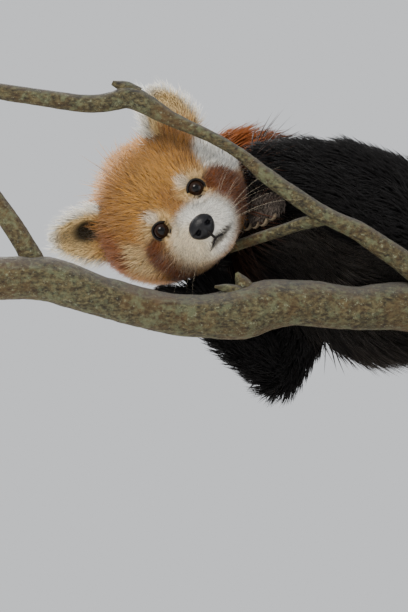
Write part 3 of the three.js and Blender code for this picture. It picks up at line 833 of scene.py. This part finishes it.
# %% Choose the roots
skin.data.calc_loop_triangles()
corners = read_triples(skin.data.loop_triangles, "vertices", np.int32)
sides = body[corners]
area = 0.5 * np.linalg.norm(np.cross(sides[:, 1] - sides[:, 0], sides[:, 2] - sides[:, 0]), axis=1)

GROUPS = {
    "head": ["head"], "ears": list(EARS), "back": ["neck", "torso"], "tail": ["tail"],
    "limbs": [n for n in names if n.startswith(("foreleg", "hindleg"))], "feet": list(PAWS),
}
SPACING = {"head": 1.5, "ears": 1.6, "back": 4.9, "tail": 5.0, "limbs": 4.4, "feet": 3.6}
group_of = {name: group for group, members in GROUPS.items() for name in members}
group = np.array([list(GROUPS).index(group_of[name]) for name in names])[part]
spacing = np.array([SPACING[g] for g in GROUPS])[group]
FACE_DEPTH, NAPE_DEPTH, FACE_SPACING, NAPE_SPACING = 12, -45, 0.9, 3.2
spacing = np.where(on_head & (local[:, 2] < NAPE_DEPTH), NAPE_SPACING, spacing)
from_eye = np.hypot(np.abs(local[:, 0]) - EYE_SIDE, local[:, 1])
by_eye = on_head & (from_eye < 15) & (local[:, 2] > -8)
spacing = np.where((on_head & (local[:, 2] > FACE_DEPTH)) | by_eye, FACE_SPACING, spacing)

head_height = np.interp(local[:, 2], [station[2] for station in SKULL], SKULL_COAT)
height = np.select(
    [on_head, among(part, "ear"), is_part["neck"], is_part["torso"], is_part["tail"], among(part, "paw")],
    [head_height, 4.0, COAT["neck"], COAT["torso"], COAT["tail"], 2.6], COAT["leg"])
weight = area * (1 / spacing)[corners].mean(1)
count = int(weight.sum())
chosen = rng.choice(len(corners), count, p=weight / weight.sum())
a, b = np.sqrt(rng.random((count, 1))), rng.random((count, 1))
mix = np.concatenate([1 - a, a * (1 - b), a * b], 1)
tri = corners[chosen]


def blended(values):
    return (values[tri] * (mix[:, :, None] if values.ndim == 2 else mix)).sum(1)


main = tri[np.arange(count), mix.argmax(1)]
root, normal, flow = blended(body), unit(blended(facing)), unit(blended(lie))
tall, where = blended(height), group[main]
print("tufts drawn:", count)

# %% [markdown]
# Eyes, nose and mouth stay bare. A little spread in direction, length and shade, and a slow wave
# shared by neighbours, break the coat into the loose clumps that soft fur falls into.

# %% Give every tuft its direction, length and shade
spot = into_head(root)
head_group = where == list(GROUPS).index("head")
bare = np.zeros(count, bool)


def within(points, eye, wide, high):
    """Which points lie inside an oval about an eye, seen from the front."""
    return ((points[:, 0] - eye[0]) / wide) ** 2 + ((points[:, 1] - eye[1]) / high) ** 2 < 1


BARE_EYE = 8.2, 7.9
x, y, z = spot.T
for eye in EYES:
    bare |= within(spot, eye, *BARE_EYE) & (z > 2)
bare |= ((x / 11) ** 2 + ((y + 27) / 10.2) ** 2 < 1) & (z > 38)
bare |= (np.abs(y - mouth_height(x)) < 0.9) & (np.abs(x) < 17) & (z > 25)
bare |= out_of_wood(root)[0] > -0.5

wave = np.sin(root @ np.array([[0.11, 0.05], [0.07, -0.12], [0.09, 0.10]])) * 0.22
sideways = np.cross(normal, flow)
spread = rng.normal(0, 0.20, count) + wave[:, 0]
aim = unit(flow * np.cos(spread)[:, None] + sideways * np.sin(spread)[:, None] + [0, 0, -0.06])
lift = np.where(head_group, 0.50, 0.62) + rng.normal(0, 0.10, count) + wave[:, 1] * 0.4
ruff = head_group & (np.abs(x) > 40) & (z < 5)
in_ear = where == list(GROUPS).index("ears")
lift = lift + np.where(ruff, 0.18, 0) + np.where(in_ear, 0.15, 0)
tip_lift = lift * 0.35
LOWER, UPPER = 0.45, 0.55
SHORTEST, LONGEST, LONGEST_ON_LEGS = 2.2, 62, 27
rise = LOWER * np.sin(lift) + UPPER * np.sin(tip_lift)
longest = np.where(where == list(GROUPS).index("limbs"), LONGEST_ON_LEGS, LONGEST)
long = np.clip(tall / rise, SHORTEST, longest) * rng.uniform(0.72, 1.04, count)
edge = np.zeros(count)
for name in EARS:
    u, v, _ = in_form(name, root).T
    here = in_ear & (part[main] == names.index(name))
    edge = np.where(here, smoothstep(np.abs(u) / ear_half_width(v), 0.45, 0.95), edge)
rim = head_group & (blended(from_eye) < 14) & (z > -8)
long = np.where(rim, np.maximum(long, 3.6), long)
long = np.where(in_ear, 4 + 16 * edge * rng.random(count), long)
WIDTH = {"head": 0.8, "ears": 0.75, "back": 1.7, "tail": 1.9, "limbs": 1.5, "feet": 1.1}
width = np.array([WIDTH[g] for g in GROUPS])[where] * rng.uniform(0.75, 1.25, count)
width = np.where(rim | (head_group & (z > FACE_DEPTH)), 0.6, width)
width = np.where(head_group & (z < NAPE_DEPTH), 1.3, width)


def onward(points, angle, share):
    """Points a share of the hair's length further on, at an angle above the skin."""
    return points + (
        aim * (np.cos(angle) * long * share)[:, None] + normal * (np.sin(angle) * long * share)[:, None])


middle = onward(root, lift, LOWER)
tip = onward(middle, tip_lift, UPPER)
low = np.clip((root[:, 2] - BOARD_CLEAR) / np.maximum(root[:, 2] - tip[:, 2], 1e-6), 0.15, 1)[:, None]
low = np.where((tip[:, 2] < BOARD_CLEAR)[:, None], low, 1.0)
middle, tip = root + (middle - root) * low, root + (tip - root) * low
for eye in EYES:
    end = into_head(tip)
    bare |= within(end, eye, *BARE_EYE) & (end[:, 2] > 4) & head_group
front = np.where(head_group & (x > 30), 2.5, 0.0)
for points in (tip, middle):
    depth, beside = out_of_wood(points, front)
    points[depth > -OFF_BARK] = beside[depth > -OFF_BARK]
seen = np.where((head_group | in_ear)[:, None], middle * 0.75 + root * 0.25, root)
hue = markings(seen, part[main], share[main], normal)
shade = np.where(head_group[:, None], rng.uniform(0.58, 1.28, (count, 1)), rng.uniform(0.75, 1.2, (count, 1)))
shade = shade * (1 + 0.3 * wave[:, :1])
print("left bare:", int(bare.sum()))

# %% [markdown]
# The coat is built group by group as plain arrays of points and triangles, in pieces small enough
# to export. The map named OFBake gives each tuft a tiny patch at its root's place on an unwrap of
# the skin, one rectangle for each part, by the share along the part and the turn about it.

# %% Build the coat
CELLS = 6
cell = np.stack([part[main] % CELLS, part[main] // CELLS], 1)
inner = np.stack([(turn[main] / (2 * np.pi)) % 1.0, np.clip(share[main], 0, 1)], 1)
unwrap = (cell + 0.05 + 0.9 * inner) / CELLS
unwrap = unwrap + rng.uniform(-0.004, 0.004, unwrap.shape)
CORNER = np.array([[0.0, 1.0], [0.87, -0.5], [-0.87, -0.5]])
TUFT_FLATNESS = 0.6


def tuft_arrays(pick, rings):
    """Points, faces, colours and map of the picked tufts, with this many rings of three and a tip."""
    a, m, b, n = root[pick], middle[pick], tip[pick], normal[pick]
    t = np.linspace(0, 1, rings + 1)[:, None, None]
    curve = (1 - t) ** 2 * (a - n * 0.6) + 2 * t * (1 - t) * (m + (m - (a + b) / 2) * 0.35) + t**2 * b
    along = unit(np.gradient(curve, axis=0))
    across = unit(np.cross(along, n))
    above = np.cross(across, along)
    half = (width[pick] / 2 * np.clip(1.15 - t[:, :, 0] ** 2 * 1.15, 0.0, 1))[:, :, None]
    start, half = curve[:-1], half[:-1]
    ring = [start + across[:-1] * (half * x) + above[:-1] * (half * z * TUFT_FLATNESS) for x, z in CORNER]
    points = np.concatenate([np.stack(ring, 1).reshape(rings * 3, len(a), 3), curve[-1:]], 0)
    size = rings * 3 + 1
    points = points.transpose(1, 0, 2).reshape(-1, 3)
    faces = []
    for r in range(rings - 1):
        for s in range(3):
            p, q = r * 3 + s, r * 3 + (s + 1) % 3
            faces += [(p, q, q + 3), (p, q + 3, p + 3)]
    last = (rings - 1) * 3
    faces += [(last + s, last + (s + 1) % 3, size - 1) for s in range(3)]
    faces = (np.array(faces)[None] + (np.arange(len(a)) * size)[:, None, None]).reshape(-1, 3)
    step = np.repeat(np.linspace(0, 1, rings + 1), 3)[: size]
    dark = np.interp(step, [0, 0.45, 1], [0.42, 0.95, 1.15])
    colors = (hue[pick] * shade[pick])[:, None, :] * dark[None, :, None]
    offset = np.stack([np.tile([0.0, 1.0, -1.0], rings + 1)[:size] * 0.0012, (step - 0.5) * 0.003], 1)
    offset[-1, 0] = 0
    uv = unwrap[pick][:, None, :] + offset[None]
    return points, faces, np.clip(colors, 0, 1).reshape(-1, 3), uv.reshape(-1, 2)


def coat_piece(name, pick, rings, slot):
    points, faces, colors, uv = tuft_arrays(pick, rings)
    mesh = bpy.data.meshes.new(name)
    mesh.vertices.add(len(points))
    set_points(mesh, points)
    mesh.loops.add(faces.size)
    mesh.loops.foreach_set("vertex_index", faces.astype(np.int32).ravel())
    mesh.polygons.add(len(faces))
    mesh.polygons.foreach_set("loop_start", np.arange(0, faces.size, 3, dtype=np.int32))
    mesh.update(calc_edges=True)
    layer = mesh.uv_layers.new(name="OFBake")
    layer.data.foreach_set("uv", uv[faces.ravel()].astype(np.float32).ravel())
    set_colors(mesh, colors)
    mesh.shade_smooth()
    mesh.materials.append(FUR[slot])
    settle(linked(name, mesh), slot)
    return len(faces)


SLOTS = {
    "head": "fur_face", "ears": "fur_cream", "back": "fur_red", "tail": "fur_tail", "limbs": "fur_black",
    "feet": "fur_black",
}
PIECE_TRIANGLES = 185000
total = 0
for index, name in enumerate(GROUPS):
    pick = np.flatnonzero((where == index) & ~bare)
    rings = 3 if name in ("back", "tail", "limbs") else 2
    tufts = PIECE_TRIANGLES // (6 * rings - 3)
    pick = pick[np.argsort(root[pick, 0], kind="stable")]
    for k, some in enumerate(np.array_split(pick, max(1, -(-len(pick) // tufts)))):
        made = coat_piece(f"coat_{name}_{k + 1}", some, rings, SLOTS[name])
        total += made
        print(f"coat_{name}_{k + 1}:", len(some), "tufts,", made, "triangles")
print("coat triangles:", total)

# %% [markdown]
# An eye is a dark glassy ball with a low cornea over a brown iris, nearly black in this light. Its
# rim is a thin dark lid that follows an almond on the ball, with its corner towards the nose.

# %% Eyes and lids


def almond(eye, turn, radius=EYE_RADIUS + 0.9):
    """The lid's line on the eyeball, with its corner towards the nose."""
    inner = -np.sign(eye[0])
    x = 8.1 * np.cos(turn) + inner * 0.9 * np.exp(-((np.cos(turn) * inner - 1) / 0.12) ** 2)
    y = 7.8 * np.sin(turn) * (1 - 0.08 * np.cos(turn) * inner)
    z = np.sqrt(np.maximum(radius**2 - x**2 - y**2, 1.0))
    return np.stack([x, y, z], 1) + eye


def ring_tube(path, radius, sides=10):
    """A closed tube round a closed path, with a radius for each of its points."""
    ahead = unit(np.roll(path, -1, 0) - np.roll(path, 1, 0))
    out = unit(path - path.mean(0))
    out = unit(out - ahead * (out * ahead).sum(1, keepdims=True))
    side = np.cross(ahead, out)
    turn = full_turn(sides)
    ring = out[:, None] * np.cos(turn)[None, :, None] + side[:, None] * np.sin(turn)[None, :, None]
    points = path[:, None] + radius[:, None, None] * ring
    return points.reshape(-1, 3), [(a, d, c, b) for a, b, c, d in ring_faces(len(path), sides, True)]


eye_material = flat_material("eye_glass", (0.012, 0.006, 0.004), 0.09, {"Specular IOR Level": 0.22})
wired(eye_material.node_tree, {"iris": ("ShaderNodeAttribute", {"attribute_name": "Coat"})},
      ["iris.Color > shader.Base Color"])
lid_material = flat_material("lid_skin", (0.006, 0.0045, 0.004), 0.5, {"Specular IOR Level": 0.25})
PUPIL_RADIUS, IRIS_RADIUS = 3.6, 6.4
IRIS, PUPIL, RIM = (0.016, 0.007, 0.0035), (0.002, 0.002, 0.002), (0.006, 0.004, 0.003)

for name, eye in zip(("eye_left", "eye_right"), EYES):
    points, faces = ball([0, 0, 0], [EYE_RADIUS] * 3, 40, 28)
    around = np.hypot(points[:, 0], points[:, 1])
    front = points[:, 2] > 0
    points[front, 2] += 0.5 * (1 - smoothstep(around[front], 2.0, 6.0))
    piece = mesh_object(name + "_ball", from_head(points + eye), faces, eye_material)
    tone = np.tile(IRIS, (len(points), 1))
    tone[around < PUPIL_RADIUS] = PUPIL
    tone[around > IRIS_RADIUS] = RIM
    set_colors(piece.data, tone)
    settle(piece, "eye_dark", name)
    turn = full_turn(48)
    rim = ring_tube(from_head(almond(eye, turn)), 0.85 + 0.15 * np.sin(turn))
    settle(mesh_object(name + "_lid", *rim, lid_material), "nose_skin")
print("eyes set", (EYES[0] - EYES[1])[0], "mm apart")

# %% [markdown]
# The nose is a broad moist pad, dented at its middle, with a comma-shaped nostril on each side that
# opens towards the cheek. Fine pebbling comes from a bump in its material.

# %% Nose and lips


def nose_piece():
    points, faces = ball([0, 0, 0], [1, 1, 1], 72, 48)
    x, y, z = points.T
    x, y, z = x * 12.3 * (1 - 0.16 * np.clip(-y, 0, 1)), y * 10.6, z * 8.8
    dent = np.exp(-((x / 1.2) ** 2)) * smoothstep(-y, -4, 6)
    z = z - 0.9 * dent * (z > 0)
    for side in (-1, 1):
        u, v = x * side - 6.0, y + 1.2
        hole = np.exp(-((u / 2.5) ** 2 + ((v + 0.20 * u) / 1.7) ** 2) ** 1.4)
        slit = np.exp(-(((u - 3.4) / 3.2) ** 2 + ((v - 1.1) / 0.9) ** 2))
        z = z - (4.2 * hole + 2.2 * slit) * (z > 0)
    return from_head(np.stack([x, y - 26, z + 50], 1)), faces


nose_material = flat_material("nose_pad", (0.002, 0.002, 0.0035), 0.40, {"Specular IOR Level": 0.3})
wired(nose_material.node_tree, {
    "place": "ShaderNodeTexCoord", "pebbles": ("ShaderNodeTexVoronoi", {"Scale": 900}),
    "bump": ("ShaderNodeBump", {"Strength": 0.35, "Distance": 0.0004}),
}, ["place.Object > pebbles.Vector", "pebbles.Distance > bump.Height", "bump.Normal > shader.Normal"])
settle(mesh_object("nose_pad", *nose_piece(), nose_material), "nose_skin", "nose")

LIPS = [
    [-21, -43, 26], [-15, -44.5, 37], [-7, -43.2, 46], [0, -41, 49.5],
    [7, -43.2, 46], [15, -44.5, 37], [21, -43, 26],
]
CLEFT = [[0, -33, 56, 0.9, 1.2], [0, -37, 53, 0.8, 1.2], [0, -41, 50, 0.9, 1.2]]
lip_form = Form([[*at, 0.9, 0.9] for at in LIPS], CROWN, place=HEAD)
cleft = Form(CLEFT, [1, 0, 0], place=HEAD)
mouth = mesh_object("mouth_line", *joined([lip_form.shell(10, 40, 4), cleft.shell(10, 10, 4)]), lid_material)
settle(mouth, "nose_skin")
print("mouth width:", LIPS[-1][0] - LIPS[0][0], "mm")

# %% [markdown]
# Claws and whiskers repeat one shape at many roots. A Geometry Nodes tree sets a template on
# points, turned and sized by the attributes that each point carries, so that one tree serves both.

# %% A tree that sets a template on points


def template_on_points():
    tree = node_group("template_on_points", "GeometryNodeTree", {
        "Geometry": "Geometry", "Template": "Object", "Size": "Float", "Material": "Material",
    }, "Geometry")
    wired(tree, {
        "enter": "NodeGroupInput", "leave": "NodeGroupOutput", "info": "GeometryNodeObjectInfo",
        "set_on": "GeometryNodeInstanceOnPoints", "real": "GeometryNodeRealizeInstances",
        "coat": "GeometryNodeSetMaterial", "times": ("ShaderNodeMath", {"operation": "MULTIPLY"}),
        "turned": ("GeometryNodeInputNamedAttribute", {"data_type": "FLOAT_VECTOR", "Name": "turned"}),
        "sized": ("GeometryNodeInputNamedAttribute", {"data_type": "FLOAT", "Name": "sized"}),
    }, [
        "enter.Geometry > set_on.Points", "enter.Template > info.Object", "info.Geometry > set_on.Instance",
        "turned.Attribute > set_on.Rotation", "sized.Attribute > times.0", "enter.Size > times.1",
        "times.Value > set_on.Scale", "set_on.Instances > real.Geometry", "real.Geometry > coat.Geometry",
        "enter.Material > coat.Material", "coat.Geometry > leave.Geometry",
    ])
    return tree


ON_POINTS = template_on_points()


def grown(holder, tree, **values):
    """The mesh that a tree makes of an object, with the tree's named inputs set."""
    modifier = holder.modifiers.new("grow", "NODES")
    modifier.node_group = tree
    for item in tree.interface.items_tree:
        if item.item_type == "SOCKET" and item.in_out == "INPUT" and item.name in values:
            modifier[item.identifier] = values[item.name]
    return baked(holder)


def facing_turn(aim, top):
    """The turn that points a template's x along aim and its z along top."""
    x = unit(np.asarray(aim, float))
    z = unit(np.asarray(top, float) - x * x.dot(top))
    return Matrix(np.stack([x, np.cross(z, x), z], 1).tolist()).to_euler()


def on_points(name, roots, turns, sizes, template, material):
    holder = mesh_object(name, np.array(roots), [], smooth=False)
    turns = [tuple(turn) for turn in turns]
    for key, kind, field, values in (
        ("turned", "FLOAT_VECTOR", "vector", turns), ("sized", "FLOAT", "value", sizes),
    ):
        attribute = holder.data.attributes.new(key, kind, "POINT")
        attribute.data.foreach_set(field, np.array(values, np.float32).ravel())
    piece = grown(holder, ON_POINTS, Template=template, Size=1.0, Material=material)
    bpy.data.objects.remove(template)
    return piece


def template_tube(name, stations, sides):
    """A tapered tube in metres about the origin, to be set on points."""
    points, faces = Form(stations).shell(sides, 14, 3)
    return mesh_object(name, points + BOUGH_ORIGIN, faces)


print("tree:", ON_POINTS.name)

# %% [markdown]
# A claw is a pale horn hook that curves down from its toe. Whiskers are stiff cream hairs, in rows
# on the muzzle, that arch outward and droop.

# %% Claws and whiskers
horn = flat_material("claw_horn", (0.20, 0.155, 0.10), 0.35)
CLAW = [
    [-3, 0, 0, 1.5, 2.2], [3, 0, 0.3, 1.4, 2.1], [8, 0, -1.5, 1.0, 1.5], [12, 0, -5, 0.45, 0.7],
    [14, 0, -8.5, 0.12, 0.15],
]
claw = template_tube("claw_template", CLAW, 12)
claw_turns = [facing_turn(aim, top) for aim, top in zip(claw_aims, claw_tops)]
claws = on_points("claws", claw_roots, claw_turns, rng.uniform(0.9, 1.08, len(claw_roots)), claw, horn)
settle(claws, "eye_dark")

WHISKER = [[0, 0, 0, 0.11], [25, 0, 3, 0.10], [50, 0, 3, 0.08], [75, 0, -2, 0.05], [96, 0, -10, 0.02]]
whisker = template_tube("whisker_template", WHISKER, 5)
roots, turns, sizes = [], [], []
for side in (1, -1):
    for row in range(4):
        for k in range(1, 4):
            x, y, z = 13 + 3.4 * k, -27 - 5.2 * row + 1.2 * k, 40 - 4.6 * k
            aim = np.array([side * (0.75 + 0.06 * k), 0.42 - 0.26 * row, 0.50 - 0.16 * k])
            aim = aim + rng.normal(0, 0.06, 3)
            roots.append(from_head([side * x, y, z]))
            turns.append(facing_turn(HEAD[:3, :3] @ aim, HEAD[:3, :3] @ np.array([0, 1, 0.3])))
            sizes.append(rng.uniform(0.35, 0.72) * (1 if side > 0 else 0.65))
whisker_hair = flat_material("whisker_hair", (0.62, 0.54, 0.40), 0.5)
whiskers = on_points("whiskers", roots, turns, sizes, whisker, whisker_hair)
settle(whiskers, "fur_cream")
print("claws:", len(claw_roots), "whiskers:", len(roots))

# %% [markdown]
# The bark follows the perch's paths. A curve carries each path and its radius, and Geometry Nodes
# sweep a round section along it and push its surface by two noises: broad swellings and fine
# cracks that run along the wood.

# %% A tree that grows bark on a curve


def bark_on_curve():
    tree = node_group("bark_on_curve", "GeometryNodeTree", {
        "Geometry": "Geometry", "Step": "Float", "Sides": "Int", "Swelling": "Float", "Cracks": "Float",
        "Material": "Material",
    }, "Geometry")
    nodes = {
        "enter": "NodeGroupInput", "leave": "NodeGroupOutput", "radius": "GeometryNodeInputRadius",
        "normal": "GeometryNodeInputNormal", "at": "GeometryNodeInputPosition",
        "sample": ("GeometryNodeResampleCurve", {"mode": "LENGTH"}),
        "round": ("GeometryNodeCurvePrimitiveCircle", {"Radius": 1.0}),
        "sweep": ("GeometryNodeCurveToMesh", {"Fill Caps": True}), "push": "GeometryNodeSetPosition",
        "real": "GeometryNodeRealizeInstances", "coat": "GeometryNodeSetMaterial",
        "stretch": ("ShaderNodeVectorMath", {"operation": "MULTIPLY", 1: (0.25, 1, 1)}),
        "both": "ShaderNodeMath", "offset": ("ShaderNodeVectorMath", {"operation": "SCALE"}),
    }
    wires = [
        "enter.Geometry > sample.Curve", "enter.Step > sample.Length", "enter.Sides > round.Resolution",
        "sample.Curve > sweep.Curve", "round.Curve > sweep.Profile Curve", "radius.Radius > sweep.Scale",
        "at.Position > stretch.0", "normal.Normal > offset.0", "both.Value > offset.Scale",
        "sweep.Mesh > push.Geometry", "offset.Vector > push.Offset", "push.Geometry > real.Geometry",
        "real.Geometry > coat.Geometry", "enter.Material > coat.Material", "coat.Geometry > leave.Geometry",
    ]
    noises = ("at.Position", 30, "Swelling"), ("stretch.Vector", 260, "Cracks")
    for k, (source, scale, depth) in enumerate(noises):
        nodes[f"noise{k}"] = ("ShaderNodeTexNoise", {"Scale": scale, "Detail": 4})
        nodes[f"centre{k}"] = ("ShaderNodeMath", {"operation": "SUBTRACT", 1: 0.5})
        nodes[f"times{k}"] = ("ShaderNodeMath", {"operation": "MULTIPLY"})
        wires += [
            f"{source} > noise{k}.Vector", f"noise{k}.Fac > centre{k}.0", f"centre{k}.Value > times{k}.0",
            f"enter.{depth} > times{k}.1", f"times{k}.Value > both.{k}",
        ]
    wired(tree, nodes, wires)
    return tree


BARK_TREE = bark_on_curve()
print("tree:", BARK_TREE.name)

# %% [markdown]
# Bark is grey-green to brown, darker in its cracks, with pale crusts of lichen. Long noise gives
# the streaks along the wood and a bump carries the grain that is too fine for the mesh.

# %% Bark, board and rod materials


def tinted_noise(material, scale, stops, stretch=(1, 1, 1), bump=0.3, distance=0.001, detail=6):
    """Colours a material by a stretched noise through a ramp, with a bump from the same noise."""
    made = wired(material.node_tree, {
        "place": "ShaderNodeTexCoord", "mapping": ("ShaderNodeMapping", {"Scale": stretch}),
        "noise": ("ShaderNodeTexNoise", {"Scale": scale, "Detail": detail, "Roughness": 0.65}),
        "ramp": "ShaderNodeValToRGB", "relief": ("ShaderNodeBump", {"Strength": bump, "Distance": distance}),
    }, [
        "place.Object > mapping.Vector", "mapping.Vector > noise.Vector", "noise.Fac > ramp.Fac",
        "noise.Fac > relief.Height", "relief.Normal > shader.Normal", "ramp.Color > shader.Base Color",
    ])
    band = made["ramp"].color_ramp.elements
    for k, (at, color) in enumerate(stops):
        stop = band[k] if k < 2 else band.new(at)
        stop.position, stop.color = at, (*color, 1)
    return made["ramp"].outputs["Color"]


def layer_over(material, below, span, most, color, nodes, wires):
    """Lays a colour over what lies below it, as far as the given nodes' value fills the span."""
    made = wired(material.node_tree, {
        **nodes, "cover": ("ShaderNodeMapRange", {"From Min": span[0], "From Max": span[1], "To Max": most}),
        "mix": ("ShaderNodeMix", {"data_type": "RGBA", "B": (*color, 1)}),
    }, wires + ["cover.Result > mix.Factor", "mix.Result > shader.Base Color"])
    material.node_tree.links.new(below, made["mix"].inputs["A"])
    return made["mix"].outputs["Result"]


def patches_over(material, below, scale, span, most, color):
    """Patches of one colour, such as a lichen, where a ragged noise is high."""
    return layer_over(material, below, span, most, color, {
        "place": "ShaderNodeTexCoord",
        "spots": ("ShaderNodeTexNoise", {"Scale": scale, "Detail": 9, "Roughness": 0.75}),
    }, ["place.Object > spots.Vector", "spots.Fac > cover.Value"])


def top_over(material, below, most, color):
    """A grey tint on the faces that look up."""
    return layer_over(material, below, (0.25, 0.9), most, color, {
        "surface": "ShaderNodeNewGeometry", "parts": "ShaderNodeSeparateXYZ",
    }, ["surface.Normal > parts.Vector", "parts.Z > cover.Value"])


bark = flat_material("bark", (0.2, 0.17, 0.11), 0.88)
BARK_TONES = [(0.36, (0.008, 0.006, 0.003)), (0.50, (0.050, 0.040, 0.016)), (0.68, (0.14, 0.120, 0.055))]
tones = tinted_noise(bark, 340, BARK_TONES, (0.6, 1, 1), 1.0, 0.002, 9)
tones = patches_over(bark, tones, 16, (0.46, 0.64), 0.7, (0.085, 0.042, 0.010))
tones = patches_over(bark, tones, 95, (0.50, 0.60), 0.55, (0.125, 0.145, 0.075))
tones = patches_over(bark, tones, 330, (0.58, 0.63), 0.6, (0.24, 0.26, 0.17))
top_over(bark, tones, 0.55, (0.125, 0.12, 0.12))
cut_wood = fur_material("cut_wood", 0.8, 0.0, amount=0.4)
timber = flat_material("dark_timber", (0.1, 0.05, 0.03), 0.42)
GRAIN = [(0.3, (0.055, 0.027, 0.014)), (0.75, (0.15, 0.082, 0.045))]
tinted_noise(timber, 30, GRAIN, (0.12, 1, 1), 0.12, 0.0005)
steel = flat_material("brushed_steel", (0.55, 0.55, 0.56), 0.34, {"Metallic": 1.0})
wired(steel.node_tree, {
    "place": "ShaderNodeTexCoord", "mapping": ("ShaderNodeMapping", {"Scale": (1, 1, 30)}),
    "noise": ("ShaderNodeTexNoise", {"Scale": 120}),
    "span": ("ShaderNodeMapRange", {"To Min": 0.26, "To Max": 0.44}),
}, ["place.Object > mapping.Vector", "mapping.Vector > noise.Vector", "noise.Fac > span.Value",
    "span.Result > shader.Roughness"])
print("bark, timber and steel ready")

# %% [markdown]
# Each length of wood is grown on its own path. The broken stubs stay rough at their ends, and the
# sawn ends get a face with growth rings.

# %% Perch


def bough(name, stations, count, nodes, swelling, cracks):
    """A length of wood that stands for the given nodes, with its bark grown by the tree."""
    at, radius = wood_path(stations, count)
    curve = bpy.data.curves.new(name, "CURVE")
    curve.dimensions = "3D"
    line = curve.splines.new("POLY")
    line.points.add(count - 1)
    line.points.foreach_set("co", np.concatenate([to_row(at), np.ones((count, 1))], 1).ravel())
    line.points.foreach_set("radius", radius / 1000)
    sides = THICK_SIDES if radius.max() > 15 else THIN_SIDES
    piece = grown(linked(name, curve), BARK_TREE, Step=BARK_STEP, Sides=sides, Swelling=swelling,
                  Cracks=cracks, Material=bark)
    piece.data.shade_smooth()
    settle(piece, "bark", *nodes)
    print(name, len(piece.data.polygons), "faces")


BARK_STEP, THICK_SIDES, THIN_SIDES = 0.0018, 64, 40
bough("limb_bark", LIMB, 260, ["perch_limb"], 0.0045, 0.0016)
bough("shoot_bark", SHOOT, 40, [], 0.002, 0.001)
bough("snag_bark", SNAG, 30, [], 0.003, 0.0016)
bough("spur_bark", SPUR, 24, [], 0.002, 0.0012)
bough("branch_bark", BRANCH, 240, ["perch_branch"], 0.0018, 0.0009)
bough("knot_bark", KNOT, 24, [], 0.003, 0.0014)
bough("twig_bark", TWIG, 40, ["perch_twig"], 0.0012, 0.0007)
RINGS, SPOKES = 40, 72
PALE_WOOD, DARK_WOOD = np.array([0.44, 0.29, 0.15]), np.array([0.20, 0.115, 0.05])


def cut_end(name, stations, first):
    """A sawn face at one end of a path, with its growth rings painted on."""
    at, radius = wood_path(stations, 60)
    k, inward = (0, at[1] - at[0]) if first else (-1, at[-2] - at[-1])
    out = -unit(inward)
    across = unit(np.cross(out, UP))
    above = np.cross(across, out)
    share = np.repeat(np.linspace(0.0, 0.97, RINGS), SPOKES)
    angle = np.tile(full_turn(SPOKES), RINGS)
    edge = share * radius[k] * (1 + 0.03 * np.sin(3 * angle + k))
    dome = 1.1 - 0.9 * share**4
    points = at[k] + out * dome[:, None]
    points = points + across * (edge * np.cos(angle))[:, None] + above * (edge * np.sin(angle))[:, None]
    piece = mesh_object(name, points, ring_faces(RINGS, SPOKES), cut_wood)
    growth = np.sin(share * radius[k] * 3.6 + 0.8 * np.sin(2 * angle) + 0.5 * np.sin(5 * angle))
    tone = DARK_WOOD + (PALE_WOOD - DARK_WOOD) * (0.5 + 0.5 * growth[:, None])
    tone = tone * np.interp(share, [0, 0.05, 0.12, 0.86, 0.93, 1], [0.3, 0.4, 1, 0.85, 0.3, 0.2])[:, None]
    set_colors(piece.data, tone)
    settle(piece, "bark")


cut_end("limb_cut_left", LIMB, True)
cut_end("limb_cut_right", LIMB, False)
cut_end("branch_cut", BRANCH, True)
cut_end("shoot_cut", SHOOT, False)

# %% [markdown]
# The display board and rods keep the solids' shapes, which are right as they stand, and get timber
# with its grain along the board and steel brushed round the rods.

# %% Stand
for name, material in (("stand_base", timber), ("stand_rod_1", steel), ("stand_rod_2", steel)):
    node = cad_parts[name]
    node.data.materials.clear()
    node.data.materials.append(material)
print("stand finished")
